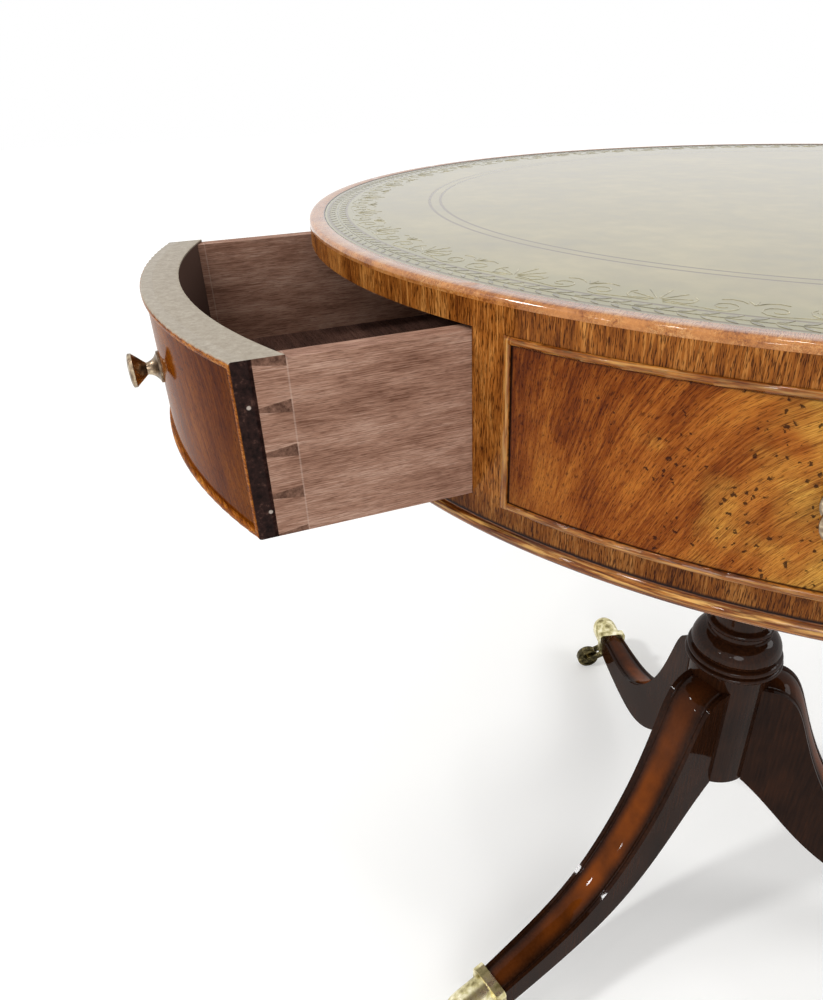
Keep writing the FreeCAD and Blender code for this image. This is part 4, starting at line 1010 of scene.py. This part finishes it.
def palmette(work):
    # rays that fan towards the middle of the top, a pair of scrolls with sprays, and a small crest
    look = palmetteLook
    for lean in look["leans"]:
        length = look["rayLength"] - look["rayLoss"] * abs(lean) / look["widest"]
        ray = []
        for share in look["rayShares"]:
            out, angle = length * share, math.radians(lean * (1 + look["rayBend"] * share))
            ray.append((look["rayStart"] - out * math.cos(angle), out * math.sin(angle)))
        stroke(work, ray)
    (stemX, stemY), (runX, runY) = look["stemStart"], look["stemRun"]
    (middleX, middleY), (turnStart, turn) = look["scrollMiddle"], look["scrollTurn"]
    for side in (-1, 1):
        scroll = [(stemX + runX * share * share, side * (stemY + runY * share))
                  for share in look["stemShares"]]
        for step in range(look["scrollSteps"] + 1):
            share = step / look["scrollSteps"]
            angle = math.radians(turnStart + turn * share)
            radius = look["scrollRadius"] * (1 - look["scrollLoss"] * share)
            scroll.append((middleX - radius * math.sin(angle), side * (middleY + radius * math.cos(angle))))
        stroke(work, scroll)
        for spray in look["sprays"]:
            stroke(work, [(x, side * y) for x, y in spray])
    footX, footY = look["crestFoot"]
    for lean in look["crestLeans"]:
        angle = math.radians(lean)
        stroke(work, [
            (footX - out * math.cos(angle), footY + out * math.sin(angle)) for out in look["crestRays"]])


def laurel(work):
    # two leaves on a stem that runs round the top
    width, length = laurelLook["stemHalf"]
    prism(work, [(-width, -length), (width, -length), (width, length), (-width, length)])
    for side in (-1, 1):
        turn = math.radians(90 - laurelLook["leafTurn"] * side)
        prism(work, [(side * laurelLook["leafOut"] + along * math.cos(turn) - out * math.sin(turn),
                      along * math.sin(turn) + out * math.cos(turn)) for along, out in laurelLook["leaf"]])


def borderTree():
    # Geometry Nodes: one motif repeated round a circle, turned to face the middle
    tree = bpy.data.node_groups.new("tooledBorder", "GeometryNodeTree")
    for label, kind in (
        ("Count", "NodeSocketInt"), ("Radius", "NodeSocketFloat"), ("Height", "NodeSocketFloat"),
        ("Motif", "NodeSocketObject"), ("Finish", "NodeSocketMaterial"),
    ):
        tree.interface.new_socket(label, in_out="INPUT", socket_type=kind)
    tree.interface.new_socket("Geometry", in_out="OUTPUT", socket_type="NodeSocketGeometry")
    given = addNode(tree, "NodeGroupInput").node.outputs
    circle = addNode(tree, "GeometryNodeMeshCircle", {"Vertices": given["Count"], "Radius": given["Radius"]})
    step = addNode(tree, maths, {0: 2 * math.pi, 1: given["Count"]}, operation="DIVIDE")
    turn = addNode(tree, maths, {0: addNode(tree, "GeometryNodeInputIndex"), 1: step}, operation="MULTIPLY")
    motif = addNode(tree, "GeometryNodeObjectInfo", {"Object": given["Motif"]}).node.outputs["Geometry"]
    spread = addNode(tree, "GeometryNodeInstanceOnPoints", {
        "Points": circle, "Instance": motif, "Rotation": addNode(tree, join, {2: turn})})
    lift = addNode(tree, join, {2: given["Height"]})
    lifted = addNode(tree, "GeometryNodeTransform", {"Geometry": spread, "Translation": lift})
    plain = addNode(tree, "GeometryNodeRealizeInstances", {"Geometry": lifted})
    dressed = addNode(tree, "GeometryNodeSetMaterial", {"Geometry": plain, "Material": given["Finish"]})
    addNode(tree, "NodeGroupOutput", {"Geometry": dressed})
    return tree


def border(name, tree, draw, count, radius, finish):
    work = bmesh.new()
    draw(work)
    bmesh.ops.recalc_face_normals(work, faces=work.faces)
    motif = bpy.data.objects.new(name + "Motif", bpy.data.meshes.new(name + "Motif"))
    work.to_mesh(motif.data)
    work.free()
    carrier = bpy.data.objects.new(name + "Carrier", bpy.data.meshes.new(name + "Carrier"))
    bpy.context.collection.objects.link(carrier)
    modifier = carrier.modifiers.new("border", "NODES")
    modifier.node_group = tree
    height = (leatherHeight - toolingLook["lift"]) / perMetre
    values = {"Count": count, "Radius": radius / perMetre, "Height": height, "Motif": motif, "Finish": finish}
    for item in tree.interface.items_tree:
        if item.in_out == "INPUT":
            modifier[item.identifier] = values[item.name]
    shown = carrier.evaluated_get(bpy.context.evaluated_depsgraph_get())
    piece = bpy.data.objects.new(name, bpy.data.meshes.new_from_object(shown))
    bpy.context.collection.objects.link(piece)
    bpy.data.objects.remove(carrier)
    bpy.data.objects.remove(motif)
    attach(piece, "drum")
    print(name, len(piece.data.polygons), "faces")


tooling = borderTree()
border("palmetteBorder", tooling, palmette, toolingLook["palmettes"], toolingLook["palmetteRadius"],
       toolingFoil("gold tooling, worn", ("#6a6342", "#90865f", "#bdb187")))
border("laurelBorder", tooling, laurel, toolingLook["leaves"], toolingLook["leafRadius"],
       toolingFoil("blind tooling, dark", ("#4f4830", "#6a6244", "#968c68")))
print("leather tooled")
